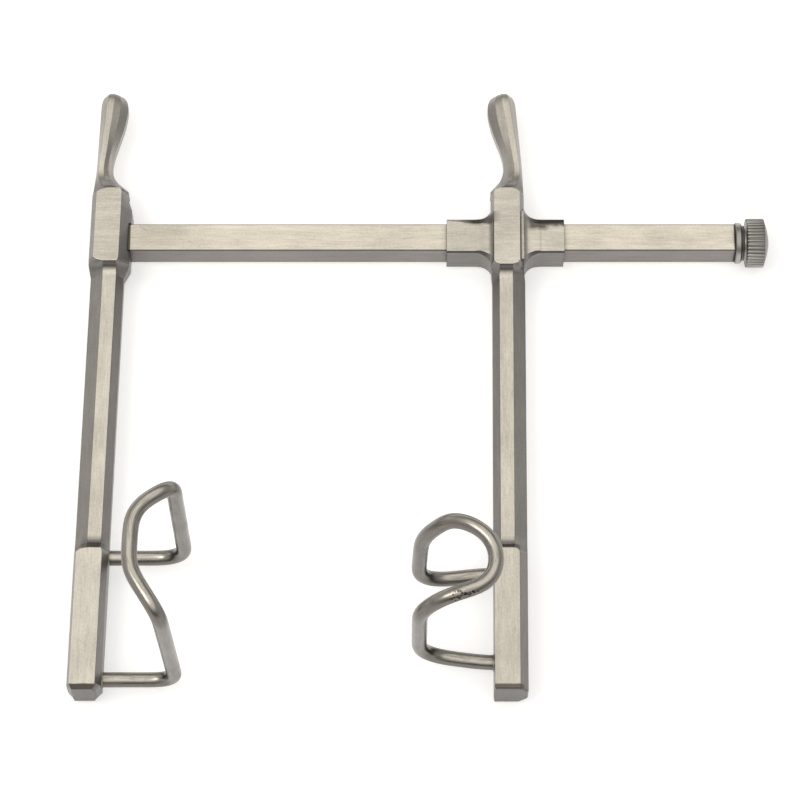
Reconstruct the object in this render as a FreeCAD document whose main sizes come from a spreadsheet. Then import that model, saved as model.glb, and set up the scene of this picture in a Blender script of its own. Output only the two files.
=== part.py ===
import FreeCAD, Part
import math
import os
import re
import Sketcher

# Self retaining retractor: a square cross bar, an arm fixed to its left end, an arm that slides
# along it, a bent wire blade in each arm, and a knurled stop screw at the right end.
# X runs along the bar, Y towards the finger horns, and Z towards the blades.
# The instrument lies on its back, so the bar's axis is half a boss above the table.

SIZES = {
    # Cross bar
    "bar_side": 6.35,
    "bar_chamfer": 0.2,
    "bar_length": 132.8,
    "tenon_diameter": 4.4,
    "tenon_length": 5.6,
    "seat_inner": 3.75,
    # Fits
    "slide_gap": 0.08,
    "seat_gap": 0.2,
    "joint_gap": 0.03,
    "thread_gap": 0.05,
    "face_gap": 0.05,
    # Arm forging, both arms
    "boss_depth": 10.8,
    "foot_depth": 9.4,
    "shaft_depth": 6.8,
    "shaft_inner": 3.45,
    "shaft_outer": 3.7,
    "strip_inner": 1.92,
    "strip_outer": 0.98,
    "shaft_side": 1.3,
    "boss_side": 2.8,
    "foot_side": 2.4,
    "boss_ramp_radius": 2.7,
    "foot_ramp_radius": 3.8,
    "boss_top": 10.9,
    "boss_root": 12.2,
    "crown": 0.9,
    "ground_stock": 0.1,
    "foot_top": 72.3,
    "foot_end": 103.2,
    # Finger horn, both arms
    "neck_station": 17.4,
    "flare_station": 31.6,
    "neck_front": 2.9,
    "flare_front": 3.1,
    "horn_side": 1.2,
    "neck_strip": 1.1,
    "neck_strip_inset": 0.6,
    "flare_strip": 1.45,
    "flare_strip_inset": 1.35,
    "tip_inner_rounding": 1.7,
    "tip_outer_rounding": 0.75,
    "tip_front_rounding": 0.95,
    # Fixed arm
    "fixed_splay": 0.0195,
    "fixed_boss_bottom": 6.5,
    "fixed_boss_inner": 4.6,
    "fixed_boss_outer": 4.25,
    "fixed_boss_shoulder": 3.45,
    "fixed_pad_inner": 2.3,
    "fixed_pad_outer": 3.1,
    "fixed_neck_inner": -0.33,
    "fixed_neck_outer": 3.78,
    "fixed_flare_inner": 2.4,
    "fixed_flare_outer": 3.58,
    "fixed_foot_inner": 2.3,
    "fixed_foot_outer": 3.05,
    "fixed_foot_rounding": 1.2,
    # Sliding arm
    "sliding_station": 87.0,
    "sliding_splay": -0.0065,
    "sliding_boss_bottom": 7.3,
    "sliding_boss_inner": 3.7,
    "sliding_boss_outer": 3.45,
    "sliding_boss_shoulder": 3.7,
    "sliding_pad_inner": 3.1,
    "sliding_pad_outer": 2.5,
    "sliding_neck_inner": 0.88,
    "sliding_neck_outer": 3.2,
    "sliding_flare_inner": 4.35,
    "sliding_flare_outer": 1.95,
    "sliding_foot_inner": 3.3,
    "sliding_foot_outer": 1.9,
    "sliding_foot_rounding": 0.3,
    # Sleeve of the sliding arm
    "sleeve_side": 8.0,
    "sleeve_inner": 13.4,
    "sleeve_outer": 12.2,
    "sleeve_chamfer": 0.35,
    "sleeve_bevel": 1.15,
    "sleeve_flare": 3.8,
    "sleeve_flare_start": 3.4,
    "sleeve_band": 1.6,
    "sleeve_band_start": 2.9,
    "sleeve_shoulder": 1.4,
    # Wire blades
    "wire_diameter": 3.2,
    "wire_sides": 12,
    "wire_insert": 4.1,
    # Wire blade of the fixed arm
    "fixed_wire_low": 99.9,
    "fixed_wire_high": 73.1,
    "fixed_low_reach": 15.3,
    "fixed_high_reach": 16.2,
    "fixed_low_bend": 4.0,
    "fixed_high_bend": 5.6,
    "fixed_blade_depth": 44.0,
    "fixed_lip_bend": 3.3,
    "fixed_lean": 0.75,
    "fixed_drop": 0.6,
    "fixed_lip_low_flare": 7.0,
    "fixed_lip_high_flare": 6.6,
    "fixed_lip_low_inset": 9.3,
    "fixed_lip_high_inset": 5.2,
    "fixed_loop_low_bend": 9.0,
    "fixed_loop_high_bend": 7.0,
    # Wire blade of the sliding arm
    "sliding_wire_low": 96.15,
    "sliding_wire_high": 76.9,
    "sliding_low_reach": 15.55,
    "sliding_high_reach": 15.95,
    "sliding_leg_start": 2.0,
    "sliding_leg_bend": 8.0,
    "sliding_low_rise": 1.8,
    "sliding_high_drop": 1.6,
    "sliding_corner_bend": 6.0,
    "sliding_blade_depth": 36.3,
    "sliding_lip_low_bend": 9.0,
    "sliding_shoulder_bend": 20.0,
    "sliding_crest_bend": 7.5,
    "sliding_lip_low_rise": 0.7,
    "sliding_crest_rise": 0.15,
    "sliding_crest_reach": 7.6,
    "sliding_shoulder_rise": 0.1,
    "sliding_shoulder_drop": 13.0,
    "sliding_lean": 0.8,
    "sliding_lip_reach": 15.4,
    "sliding_lip_low_inset": 5.3,
    "sliding_lip_high_inset": 4.9,
    "sliding_loop_low_bend": 5.5,
    "sliding_loop_high_bend": 7.0,
    # End stop
    "washer_diameter": 9.0,
    "washer_thickness": 1.3,
    "washer_chamfer": 0.2,
    "shank_diameter": 4.0,
    "shank_length": 10.0,
    "shank_bore_spare": 1.5,
    "neck_diameter": 8.0,
    "neck_length": 0.9,
    "head_diameter": 10.7,
    "head_length": 4.1,
    "head_dome": 1.1,
    "knurl_count": 28,
    "knurl_depth": 0.35,
    "knurl_width": 0.75,
}

# How far a run-out has climbed, as a share of its length, at each of its sections
RUN_OUT_STEPS = (0, 0.45, 0.8, 1)
# How far back from the end of a pad a section is, and how much of the pad's width it has there
CROWN_STEPS = ((0, 0), (0.3, 0.6), (1, 1))
# How much lower the sides of a pad start at its rounded ends
CROWN_DROP = 0.3
# Sections of the neck: the share of its height, and how far its inner side and its faces have come in
NECK_STEPS = ((0, 0, 0), (0.2, 0.14, 0.45), (0.38, 0.5, 0.7), (0.6, 0.8, 0.9), (0.82, 0.95, 0.99))
# Sections of the horn: the share of neck to flare in height and in width, and how far the tip has closed
HORN_STEPS = ((0.14, 0.03, 0), (0.42, 0.36, 0), (0.72, 0.78, 0), (1, 1, 0), (1.14, 1, 0.1),
              (1.25, 1, 0.64), (1.295, 1, 1.7))
# How much of its bevels and of its upright sides the horn has lost by the time that its tip closes
TIP_BEVEL_LOSS = 0.35
TIP_SIDE_LOSS = 0.4
# How far the ridge on the horn's inner bevel stands out, as a share of the bevel's height
RIDGE_LIFT = 0.18
# Angles round the flare, from the sleeve to the boss, at which the sleeve has a section
FLARE_ANGLES = (0, 28, 52, 70, 84)
# Where the head's dome steps in, as shares of its height and of the head's radius
DOME_STEPS = ((0.75, 0.5), (1, 0.2))
# The end of the bar, with the gap that its stop ring keeps from it
BAR_END = ("seat_inner + bar_length + face_gap", "0", "boss_depth / 2")

doc = FreeCAD.newDocument("Retractor")
sheet = doc.addObject("Spreadsheet::Sheet", "Sizes")


def fill_sheet():
    """Write every size to the sheet, with its name beside it and as its alias."""
    for row, (alias, size) in enumerate(SIZES.items(), start=1):
        sheet.set(f"A{row}", alias)
        sheet.set(f"B{row}", str(size))
        sheet.setAlias(f"B{row}", alias)
    doc.recompute()


def bound(expression):
    """The expression with the sheet's name put before each size that it reads."""
    return re.sub(r"[a-z][a-z0-9_]*",
                  lambda word: f"Sizes.{word.group()}" if word.group() in SIZES else word.group(),
                  expression)


def value(expression):
    """The number that an expression of sizes gives now."""
    return float(sheet.evalExpression(bound(expression)))


def new_body(label, place):
    """An empty body whose place is three expressions."""
    body = doc.addObject("PartDesign::Body", label)
    body.Label = label
    for axis, expression in zip("xyz", place):
        body.setExpression(f"Placement.Base.{axis}", bound(expression))
    return body


def origin_feature(body, role):
    """The body's own origin plane or axis of that role."""
    return next(item for item in body.Origin.OriginFeatures if item.Role == role)


def new_sketch(body, name, plane, offset):
    """An empty sketch on an origin plane, moved along the plane's normal by an expression."""
    sketch = body.newObject("Sketcher::SketchObject", name)
    sketch.AttachmentSupport = (origin_feature(body, plane), [""])
    sketch.MapMode = "FlatFace"
    sketch.AttachmentOffset = FreeCAD.Placement(FreeCAD.Vector(0, 0, value(offset)), FreeCAD.Rotation())
    sketch.setExpression("AttachmentOffset.Base.z", bound(offset))
    return sketch


def fix_point(sketch, edge, end, across, up):
    """Hold one end of an edge at two expressions measured from the sketch's origin."""
    for kind, expression in (("DistanceX", across), ("DistanceY", up)):
        datum = sketch.addConstraint(Sketcher.Constraint(kind, -1, 1, edge, end, value(expression)))
        sketch.setExpression(f"Constraints[{datum}]", bound(expression))


def polygon(body, name, plane, corners, offset="0"):
    """A closed polygon whose corners are pairs of expressions."""
    sketch = new_sketch(body, name, plane, offset)
    points = [FreeCAD.Vector(value(across), value(up), 0) for across, up in corners]
    count = len(points)
    for edge in range(count):
        sketch.addGeometry(Part.LineSegment(points[edge], points[(edge + 1) % count]))
    for edge in range(count):
        sketch.addConstraint(Sketcher.Constraint("Coincident", edge, 2, (edge + 1) % count, 1))
    for edge, (across, up) in enumerate(corners):
        fix_point(sketch, edge, 1, across, up)
    return sketch


def circle(body, name, plane, centre, diameter, offset="0"):
    """A circle whose centre is a pair of expressions."""
    sketch = new_sketch(body, name, plane, offset)
    middle = FreeCAD.Vector(value(centre[0]), value(centre[1]), 0)
    sketch.addGeometry(Part.Circle(middle, FreeCAD.Vector(0, 0, 1), value(diameter) / 2))
    fix_point(sketch, 0, 3, *centre)
    datum = sketch.addConstraint(Sketcher.Constraint("Diameter", 0, value(diameter)))
    sketch.setExpression(f"Constraints[{datum}]", bound(diameter))
    return sketch


def square(side, chamfer):
    """The corners of a square about the origin with chamfered corners."""
    far = f"({side}) / 2"
    near = f"(({side}) / 2 - ({chamfer}))"
    return [(far, near), (near, far), (f"-{near}", far), (f"-{far}", near),
            (f"-{far}", f"-{near}"), (f"-{near}", f"-{far}"), (near, f"-{far}"), (far, f"-{near}")]


def pad(body, name, sketch, length, backwards=False):
    """Raise a sketch by a length."""
    feature = body.newObject("PartDesign::Pad", name)
    feature.Profile = sketch
    feature.Reversed = backwards
    feature.setExpression("Length", bound(length))
    doc.recompute()
    return feature


def pocket(body, name, sketch, length, backwards=False):
    """Cut a sketch into the body by a length, and make sure that it took something away."""
    before = body.Shape.Volume
    feature = body.newObject("PartDesign::Pocket", name)
    feature.Profile = sketch
    feature.Reversed = backwards
    feature.setExpression("Length", bound(length))
    doc.recompute()
    if body.Shape.Volume >= before:
        raise RuntimeError(f"{name} cuts nothing")
    return feature


def loft(body, name, sections, ruled):
    """Join sections in order, with straight or with flowing sides."""
    feature = body.newObject("PartDesign::AdditiveLoft", name)
    feature.Profile = sections[0]
    feature.Sections = sections[1:]
    feature.Ruled = ruled
    doc.recompute()
    return feature


def revolve(body, name, sketch):
    """Turn a half section about the body's X axis."""
    feature = body.newObject("PartDesign::Revolution", name)
    feature.Profile = sketch
    feature.ReferenceAxis = (origin_feature(body, "X_Axis"), [""])
    feature.Angle = 360
    doc.recompute()
    return feature


class Arm:
    """One forged arm, drawn as sections across its length from the horn's tip to the foot.

    Sections are measured outwards from the arm's centre line, which is on the bar's axis at the
    boss and splays outwards towards the foot.
    """

    def __init__(self, arm, outward, place):
        self.arm = arm
        self.outward = outward
        self.body = new_body(f"{arm}_arm", place)

    def across(self, outwards, station):
        """The body's X of a distance outwards from the centre line at a station."""
        return f"{self.outward} * (({outwards}) - {self.arm}_splay * ({station}))"

    def section(self, name, station, inner, strip_inner, strip_outer, outer, front, side, ridge=None):
        """A bevelled section: flats front and back, a bevel each side of them and upright sides."""
        chain = [(outer, side), (strip_outer, front), (f"-({strip_inner})", front)]
        if ridge:
            chain.append(ridge)
        chain.append((f"-({inner})", side))
        front_half = [(self.across(outwards, station), up) for outwards, up in chain]
        back_half = [(across, f"-({up})") for across, up in reversed(front_half)]
        return polygon(self.body, f"{self.arm}_{name}", "XZ_Plane", front_half + back_half,
                       f"-({station})")

    def shaft_section(self, name, station):
        """The fluted section of the shaft."""
        return self.section(name, station, "shaft_inner", "strip_inner", "strip_outer", "shaft_outer",
                            "shaft_depth / 2", "shaft_side")

    def run_out(self, name, end, way, depth, radius, inner, outer, side):
        """The concave run-out by which the shaft's flutes climb to a pad.

        The middle strip climbs on an arc of the given radius and reaches the pad at its end
        station. The sides widen from the shaft's to the pad's as it climbs.
        """
        rise = f"({depth} / 2 + ground_stock - shaft_depth / 2)"
        length = f"sqrt(2 * {radius} * {rise} - {rise} * {rise})"
        sections = []
        for step, climb in enumerate(RUN_OUT_STEPS):
            station = f"{end} + {way} * (1 - {climb}) * {length}"
            front = f"shaft_depth / 2 + {radius} - sqrt({radius} ^ 2 - ({climb} * {length}) ^ 2)"
            sections.append(self.section(f"{name}_{step}", station,
                                         f"shaft_inner + ({inner} - shaft_inner) * {climb}",
                                         "strip_inner", "strip_outer",
                                         f"shaft_outer + ({outer} - shaft_outer) * {climb}",
                                         front, f"shaft_side + ({side} - shaft_side) * {climb}"))
        loft(self.body, f"{self.arm}_{name}", sections, False)
        return sections

    def crown(self, name, end, way, depth, inner, flat_inner, flat_outer, outer, side):
        """The rounded end of a pad, where its flat widens from the strip to the full pad."""
        sections = []
        for step, (back, widen) in enumerate(CROWN_STEPS):
            sections.append(self.section(f"{name}_{step}", f"{end} + {way} * crown * {back}", inner,
                                         f"strip_inner + ({flat_inner} - strip_inner) * {widen}",
                                         f"strip_outer + ({flat_outer} - strip_outer) * {widen}",
                                         outer, f"{depth} / 2 + ground_stock",
                                         f"{side} * (1 - {CROWN_DROP} * (1 - {widen}))"))
        loft(self.body, f"{self.arm}_{name}", sections, True)
        return sections

    def foot(self):
        """The foot's pad, its rounded end and the run-out above it."""
        flats = (f"{self.arm}_foot_inner", f"{self.arm}_foot_outer")
        rounding = f"{self.arm}_foot_rounding"
        climb = self.run_out("foot_ramp", "-foot_top", 1, "foot_depth", "foot_ramp_radius",
                             "shaft_inner", "shaft_outer", f"foot_side * (1 - {CROWN_DROP})")
        crown = self.crown("foot_crown", "-foot_top", -1, "foot_depth", "shaft_inner", *flats,
                           "shaft_outer", "foot_side")
        full = self.section("foot_full", f"-(foot_end - {rounding})", "shaft_inner", *flats,
                            "shaft_outer", "foot_depth / 2 + ground_stock", "foot_side")
        end = self.section("foot_end", "-foot_end", f"shaft_inner - {rounding}",
                           f"{flats[0]} - {rounding} / 2", f"{flats[1]} - {rounding} / 2",
                           f"shaft_outer - {rounding}", f"foot_depth / 2 - {rounding} / 2",
                           "foot_side")
        loft(self.body, f"{self.arm}_foot_pad", [crown[-1], full, end], True)
        return climb[0]

    def boss(self):
        """The boss that the bar goes into or through, with its raised pads."""
        inner = f"{self.arm}_boss_inner"
        outer = f"{self.arm}_boss_outer"
        flats = (f"{self.arm}_pad_inner", f"{self.arm}_pad_outer")
        crest = f"-{self.arm}_boss_bottom"
        low = self.run_out("boss_ramp", crest, -1, "boss_depth", "boss_ramp_radius", inner, outer,
                           f"boss_side * (1 - {CROWN_DROP})")
        bottom = self.crown("boss_low_crown", crest, 1, "boss_depth", inner, *flats, outer, "boss_side")
        top = self.crown("boss_top_crown", "boss_top", -1, "boss_depth",
                         f"{self.arm}_boss_shoulder", *flats, outer, "boss_side")
        waist = self.section("boss_waist", "boss_top * 0.6", inner, *flats, outer,
                             "boss_depth / 2 + ground_stock", "boss_side")
        loft(self.body, f"{self.arm}_boss_block", [bottom[-1], waist, top[-1]], True)
        return low[0]

    def grind(self, name, low, high, depth):
        """Take the forging's pads down to a depth, flat and level, between two stations."""
        side = "2 * shaft_depth"
        corners = [(f"-{side}", low), (side, low), (side, high), (f"-{side}", high)]
        for face, sign, upwards in (("front", "", True), ("back", "-", False)):
            level = polygon(self.body, f"{self.arm}_{name}_{face}_level", "XY_Plane", corners,
                            f"{sign}{depth} / 2")
            pocket(self.body, f"{self.arm}_{name}_{face}", level, "2 * ground_stock", upwards)

    def horn(self):
        """The finger horn: a concave neck, a flaring blade of flats and a rounded tip."""
        neck_in = f"{self.arm}_neck_inner"
        neck_out = f"{self.arm}_neck_outer"
        flare_in = f"{self.arm}_flare_inner"
        flare_out = f"{self.arm}_flare_outer"
        boss_in = f"{self.arm}_boss_shoulder"
        boss_out = f"{self.arm}_boss_outer"
        sections = []
        for step, (rise, narrow, settle) in enumerate(NECK_STEPS):
            inner = f"({boss_in} + ({neck_in} - {boss_in}) * {narrow})"
            outer = f"({boss_out} + ({neck_out} - {boss_out}) * {rise})"
            strip_outer = f"(strip_outer + ({outer} - neck_strip_inset - strip_outer) * {settle})"
            strip = f"(neck_strip - {outer} + neck_strip_inset)"
            strip_inner = f"(strip_inner + ({strip} - strip_inner) * {settle})"
            boss_face = "(boss_depth / 2 + ground_stock)"
            boss_edge = f"(boss_side * (1 - {CROWN_DROP}))"
            sections.append(self.horn_section(
                f"neck_{step}", f"boss_top + (neck_station - boss_top) * {rise}", inner, strip_inner,
                strip_outer, outer, f"{boss_face} + (neck_front - {boss_face}) * {settle}",
                f"{boss_edge} + (horn_side - {boss_edge}) * {settle}"))
        for step, (rise, widen, shrink) in enumerate(HORN_STEPS):
            inner = f"({neck_in} + ({flare_in} - {neck_in}) * {widen} - tip_inner_rounding * {shrink})"
            outer = f"({neck_out} + ({flare_out} - {neck_out}) * {rise} - tip_outer_rounding * {shrink})"
            kept = f"(1 - {TIP_BEVEL_LOSS} * {shrink})"
            inset = f"((neck_strip_inset + (flare_strip_inset - neck_strip_inset) * {rise}) * {kept})"
            strip = f"((neck_strip + (flare_strip - neck_strip) * {rise}) * {kept})"
            sections.append(self.horn_section(
                f"horn_{step}", f"neck_station + (flare_station - neck_station) * {rise}", inner,
                f"{strip} + {inset} - {outer}", f"{outer} - {inset}", outer,
                f"(neck_front + (flare_front - neck_front) * {rise}) - tip_front_rounding * {shrink}",
                f"horn_side * (1 - {TIP_SIDE_LOSS} * {shrink})"))
        loft(self.body, f"{self.arm}_horn", sections, False)

    def horn_section(self, name, station, inner, strip_inner, strip_outer, outer, front, side):
        """A bevelled section whose inner bevel is broken by a ridge."""
        ridge = (f"-(({inner}) + ({strip_inner})) / 2",
                 f"(({front}) + ({side})) / 2 + {RIDGE_LIFT} * (({front}) - ({side}))")
        return self.section(name, station, inner, strip_inner, strip_outer, outer, front, side, ridge)

    def socket(self, name, station):
        """A blind socket for one end of the wire blade, drilled from the inner side."""
        floor = self.across("wire_insert - shaft_inner", f"-{station}")
        hole = circle(self.body, f"{self.arm}_{name}_circle", "YZ_Plane",
                      (f"-{station}", "0"), "wire_diameter + 2 * joint_gap", floor)
        pocket(self.body, f"{self.arm}_{name}", hole, "wire_insert + shaft_inner", self.outward < 0)

    def build(self):
        """Everything but the way that the arm holds the bar."""
        shaft_bottom = self.foot()
        shaft_top = self.boss()
        root = self.shaft_section("shaft_root", "-boss_root")
        loft(self.body, f"{self.arm}_shaft", [shaft_bottom, root], True)
        loft(self.body, f"{self.arm}_shoulder", [root, shaft_top], True)
        self.horn()
        self.grind("foot_grind", "-(foot_end + foot_depth)", "-boss_root", "foot_depth")
        self.grind("boss_grind", "-boss_root", "neck_station", "boss_depth")
        self.socket("low_socket", f"{self.arm}_wire_low")
        self.socket("high_socket", f"{self.arm}_wire_high")


def fixed_arm():
    """The arm at the left end, with a seat for the bar's shoulder and a bore for its tenon."""
    arm = Arm("fixed", -1, ("0", "0", "boss_depth / 2"))
    arm.build()
    seat = polygon(arm.body, "bar_seat_square", "YZ_Plane",
                   square("bar_side + 2 * seat_gap", "bar_chamfer"), "seat_inner")
    pocket(arm.body, "bar_seat", seat, "fixed_boss_inner", True)
    bore = circle(arm.body, "tenon_bore_circle", "YZ_Plane", ("0", "0"),
                  "tenon_diameter + 2 * joint_gap", "seat_inner")
    pocket(arm.body, "tenon_bore", bore, "tenon_length + joint_gap")
    return arm.body


def sleeve_section(arm, name, station, growth, band, chamfer, bevel):
    """A section across the sleeve: square, flared up and down the arm, and deeper at the pads.

    The edge between its front and its upper side is filed further back on the front.
    """
    tall = f"(sleeve_side / 2 + {growth})"
    deep = f"(sleeve_side / 2 + {band})"
    corners = [(tall, f"{deep} - {chamfer}"), (f"{tall} - {bevel}", deep)]
    corners += [(f"-({tall} - {chamfer})", deep), (f"-{tall}", f"{deep} - {chamfer}")]
    corners += [(f"-{tall}", f"-({deep} - {chamfer})"), (f"-({tall} - {chamfer})", f"-{deep}")]
    corners += [(f"{tall} - {chamfer}", f"-{deep}"), (tall, f"-({deep} - {chamfer})")]
    return polygon(arm.body, name, "YZ_Plane", corners, station)


def sleeve_half(arm, name, way, length, end_bevel):
    """One end of the sleeve, flaring into the boss."""
    sections = []
    for step, angle in enumerate(FLARE_ANGLES):
        away = f"(sleeve_flare_start + sleeve_flare * (1 - sin({angle} deg)))"
        growth = f"sleeve_flare * (1 - cos({angle} deg))"
        lean = f"max(0; min(1; 1 - ({away} - sleeve_band_start) / sleeve_band))"
        band = f"(sleeve_band - sqrt(sleeve_band ^ 2 - (sleeve_band * {lean}) ^ 2))"
        share = step / (len(FLARE_ANGLES) - 1)
        chamfer = f"(sleeve_chamfer + sleeve_shoulder * {share})"
        bevel = f"(sleeve_bevel + (sleeve_chamfer + sleeve_shoulder - sleeve_bevel) * {share})"
        sections.append(sleeve_section(arm, f"{name}_{step}", f"{way} * {away}", growth, band, chamfer,
                                       bevel))
    end = sleeve_section(arm, f"{name}_end", f"{way} * {length}", "0", "0", "sleeve_chamfer", end_bevel)
    root = "(sleeve_chamfer + sleeve_shoulder)"
    core = sleeve_section(arm, f"{name}_core", f"{way} * sleeve_flare_start / 2", "sleeve_flare",
                          "boss_depth / 2 - sleeve_side / 2 - 2 * sleeve_chamfer", root, root)
    loft(arm.body, name, [end, sections[0]], True)
    loft(arm.body, f"{name}_flare", sections, False)
    loft(arm.body, f"{name}_root", [sections[-1], core], True)


def sliding_arm():
    """The arm that slides, with a square sleeve through its boss."""
    arm = Arm("sliding", 1, ("sliding_station", "0", "boss_depth / 2"))
    arm.build()
    sleeve_half(arm, "sleeve_in", -1, "sleeve_inner", "sleeve_chamfer")
    sleeve_half(arm, "sleeve_out", 1, "sleeve_outer", "sleeve_bevel * 0.75")
    bore = polygon(arm.body, "bore_square", "YZ_Plane",
                   square("bar_side + 2 * slide_gap", "bar_chamfer / 2"), "sleeve_outer")
    pocket(arm.body, "bore", bore, "sleeve_inner + sleeve_outer")
    return arm.body


def cross_bar():
    """The square bar, with a tenon at the fixed arm and a bore for the stop screw."""
    body = new_body("cross_bar", ("seat_inner", "0", "boss_depth / 2"))
    pad(body, "bar", polygon(body, "bar_square", "YZ_Plane", square("bar_side", "bar_chamfer")),
        "bar_length")
    pad(body, "tenon", circle(body, "tenon_circle", "YZ_Plane", ("0", "0"), "tenon_diameter"),
        "tenon_length", True)
    pocket(body, "screw_bore", circle(body, "screw_bore_circle", "YZ_Plane", ("0", "0"),
                                      "shank_diameter + 2 * thread_gap", "bar_length"),
           "shank_length + shank_bore_spare")
    return body


def stop_washer():
    """The stop ring that the sliding arm comes up against."""
    body = new_body("stop_washer", BAR_END)
    inner = "shank_diameter / 2 + thread_gap"
    rim = "washer_diameter / 2"
    half = polygon(body, "washer_half", "XY_Plane", [
        ("0.0", inner), ("washer_thickness", inner), ("washer_thickness", f"{rim} - washer_chamfer"),
        ("washer_thickness - washer_chamfer", rim), ("washer_chamfer", rim),
        ("0.0", f"{rim} - washer_chamfer")])
    revolve(body, "washer", half)
    return body


def stop_screw():
    """The screw that holds the stop ring, with a knurled and domed head."""
    body = new_body("stop_screw", BAR_END)
    neck = "(washer_thickness + face_gap)"
    shoulder = f"({neck} + neck_length)"
    rim_end = f"({shoulder} + head_length)"
    rim = "head_diameter / 2"
    corners = [
        ("-shank_length", "0.0"), ("-shank_length", "shank_diameter / 2"),
        (neck, "shank_diameter / 2"), (neck, "neck_diameter / 2"), (shoulder, "neck_diameter / 2"),
        (shoulder, rim), (rim_end, rim), (rim_end, f"{rim} - knurl_depth")]
    corners += [(f"{rim_end} + head_dome * {rise}", f"{rim} * {reach}") for rise, reach in DOME_STEPS]
    corners.append((f"{rim_end} + head_dome", "0.0"))
    revolve(body, "screw", polygon(body, "screw_half", "XY_Plane", corners))
    groove = polygon(body, "knurl_groove", "YZ_Plane", [
        ("-knurl_width / 2", f"{rim} + knurl_depth"), ("knurl_width / 2", f"{rim} + knurl_depth"),
        ("0.0", f"{rim} - knurl_depth")], rim_end)
    cut = pocket(body, "knurl_cut", groove, "head_length")
    pattern = body.newObject("PartDesign::PolarPattern", "knurl")
    pattern.Originals = [cut]
    pattern.Axis = (origin_feature(body, "X_Axis"), [""])
    pattern.Angle = 360
    pattern.setExpression("Occurrences", bound("knurl_count"))
    body.Tip = pattern
    doc.recompute()
    return body


def bent_wire(label, corners, bends):
    """A wire along straight runs, with a named bend at each corner and flat ends.

    Its section is a regular polygon, which keeps the bends light, and travels along the wire: it is
    extruded along each run and turned about the axis of each bend.
    """
    spots = [FreeCAD.Vector(*corner) for corner in corners]
    start = spots[0]
    section = wire_section(start, spots[1] - start)
    lengths = []
    for here, bend in enumerate(bends, start=1):
        radius = value(bend)
        spot = spots[here]
        arriving = (spot - spots[here - 1]).normalize()
        leaving = (spots[here + 1] - spot).normalize()
        turn = arriving.getAngle(leaving)
        reach = radius * math.tan(turn / 2)
        bend_start = spot - arriving * reach
        lengths.append(section.extrude(bend_start - start))
        section.translate(bend_start - start)
        axis = arriving.cross(leaving).normalize()
        centre = bend_start + axis.cross(arriving) * radius
        lengths.append(section.revolve(centre, axis, math.degrees(turn)))
        section.rotate(centre, axis, math.degrees(turn))
        start = spot + leaving * reach
    lengths.append(section.extrude(spots[-1] - start))
    piece = doc.addObject("Part::Feature", label)
    piece.Label = label
    piece.Shape = lengths[0].multiFuse(lengths[1:])
    piece.Placement = FreeCAD.Placement(FreeCAD.Vector(0, 0, value("boss_depth / 2")),
                                        FreeCAD.Rotation())
    return piece


def wire_section(centre, facing):
    """The wire's section as a face about a centre, with one of its corners upwards."""
    up = FreeCAD.Vector(0, 0, value("wire_diameter / 2"))
    sides = int(value("wire_sides"))
    corners = [centre + FreeCAD.Rotation(facing, side * 360 / sides).multVec(up) for side in range(sides)]
    return Part.Face(Part.makePolygon(corners + corners[:1]))


def arm_face(arm, outward, centre, wire):
    """The X of the arm's inner side where a wire leaves it."""
    return value(f"{centre} + {outward} * ({arm}_splay * {arm}_wire_{wire} - shaft_inner)")


def fixed_blade():
    """The wire blade of the fixed arm: two legs, two deep sides and a lip that flares back."""
    low_face = arm_face("fixed", -1, "0", "low")
    high_face = arm_face("fixed", -1, "0", "high")
    insert = value("wire_insert")
    low = -value("fixed_wire_low")
    high = -value("fixed_wire_high")
    depth = value("fixed_blade_depth")
    low_x = low_face + value("fixed_low_reach")
    high_x = high_face + value("fixed_high_reach")
    corners = [
        (low_face - insert, low, 0),
        (low_x, low, 0),
        (low_x - value("fixed_lean"), low - value("fixed_drop"), depth),
        (low_x - value("fixed_lip_low_flare"), low + value("fixed_lip_low_inset"), depth),
        (low_x - value("fixed_lip_high_flare"), high - value("fixed_lip_high_inset"), depth),
        (high_x, high, depth),
        (high_x, high, 0),
        (high_face - insert, high, 0)]
    bends = ["fixed_low_bend", "fixed_lip_bend", "fixed_loop_low_bend", "fixed_loop_high_bend",
             "fixed_lip_bend", "fixed_high_bend"]
    return bent_wire("fixed_blade", corners, bends)


def sliding_blade():
    """The wire blade of the sliding arm, whose lip is a rounder loop."""
    low_face = arm_face("sliding", 1, "sliding_station", "low")
    high_face = arm_face("sliding", 1, "sliding_station", "high")
    insert = value("wire_insert")
    start = value("sliding_leg_start")
    low = -value("sliding_wire_low")
    high = -value("sliding_wire_high")
    depth = value("sliding_blade_depth")
    low_side = low_face - value("sliding_low_reach")
    high_side = high_face - value("sliding_high_reach")
    far = low_side + value("sliding_lip_reach")
    corners = [
        (low_face + insert, low, 0),
        (low_face - start, low, 0),
        (low_side, low + value("sliding_low_rise"), 0),
        (low_side, low + value("sliding_lip_low_rise"), depth),
        (far, low + value("sliding_lip_low_inset"), depth),
        (far, high - value("sliding_lip_high_inset"), depth),
        (high_side + value("sliding_crest_reach"), high + value("sliding_crest_rise"), depth),
        (high_side + value("sliding_lean"), high + value("sliding_shoulder_rise"),
         depth - value("sliding_shoulder_drop")),
        (high_side, high - value("sliding_high_drop"), 0),
        (high_face - start, high, 0),
        (high_face + insert, high, 0)]
    bends = ["sliding_leg_bend", "sliding_corner_bend", "sliding_lip_low_bend",
             "sliding_loop_low_bend", "sliding_loop_high_bend", "sliding_crest_bend",
             "sliding_shoulder_bend", "sliding_corner_bend", "sliding_leg_bend"]
    return bent_wire("sliding_blade", corners, bends)


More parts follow.
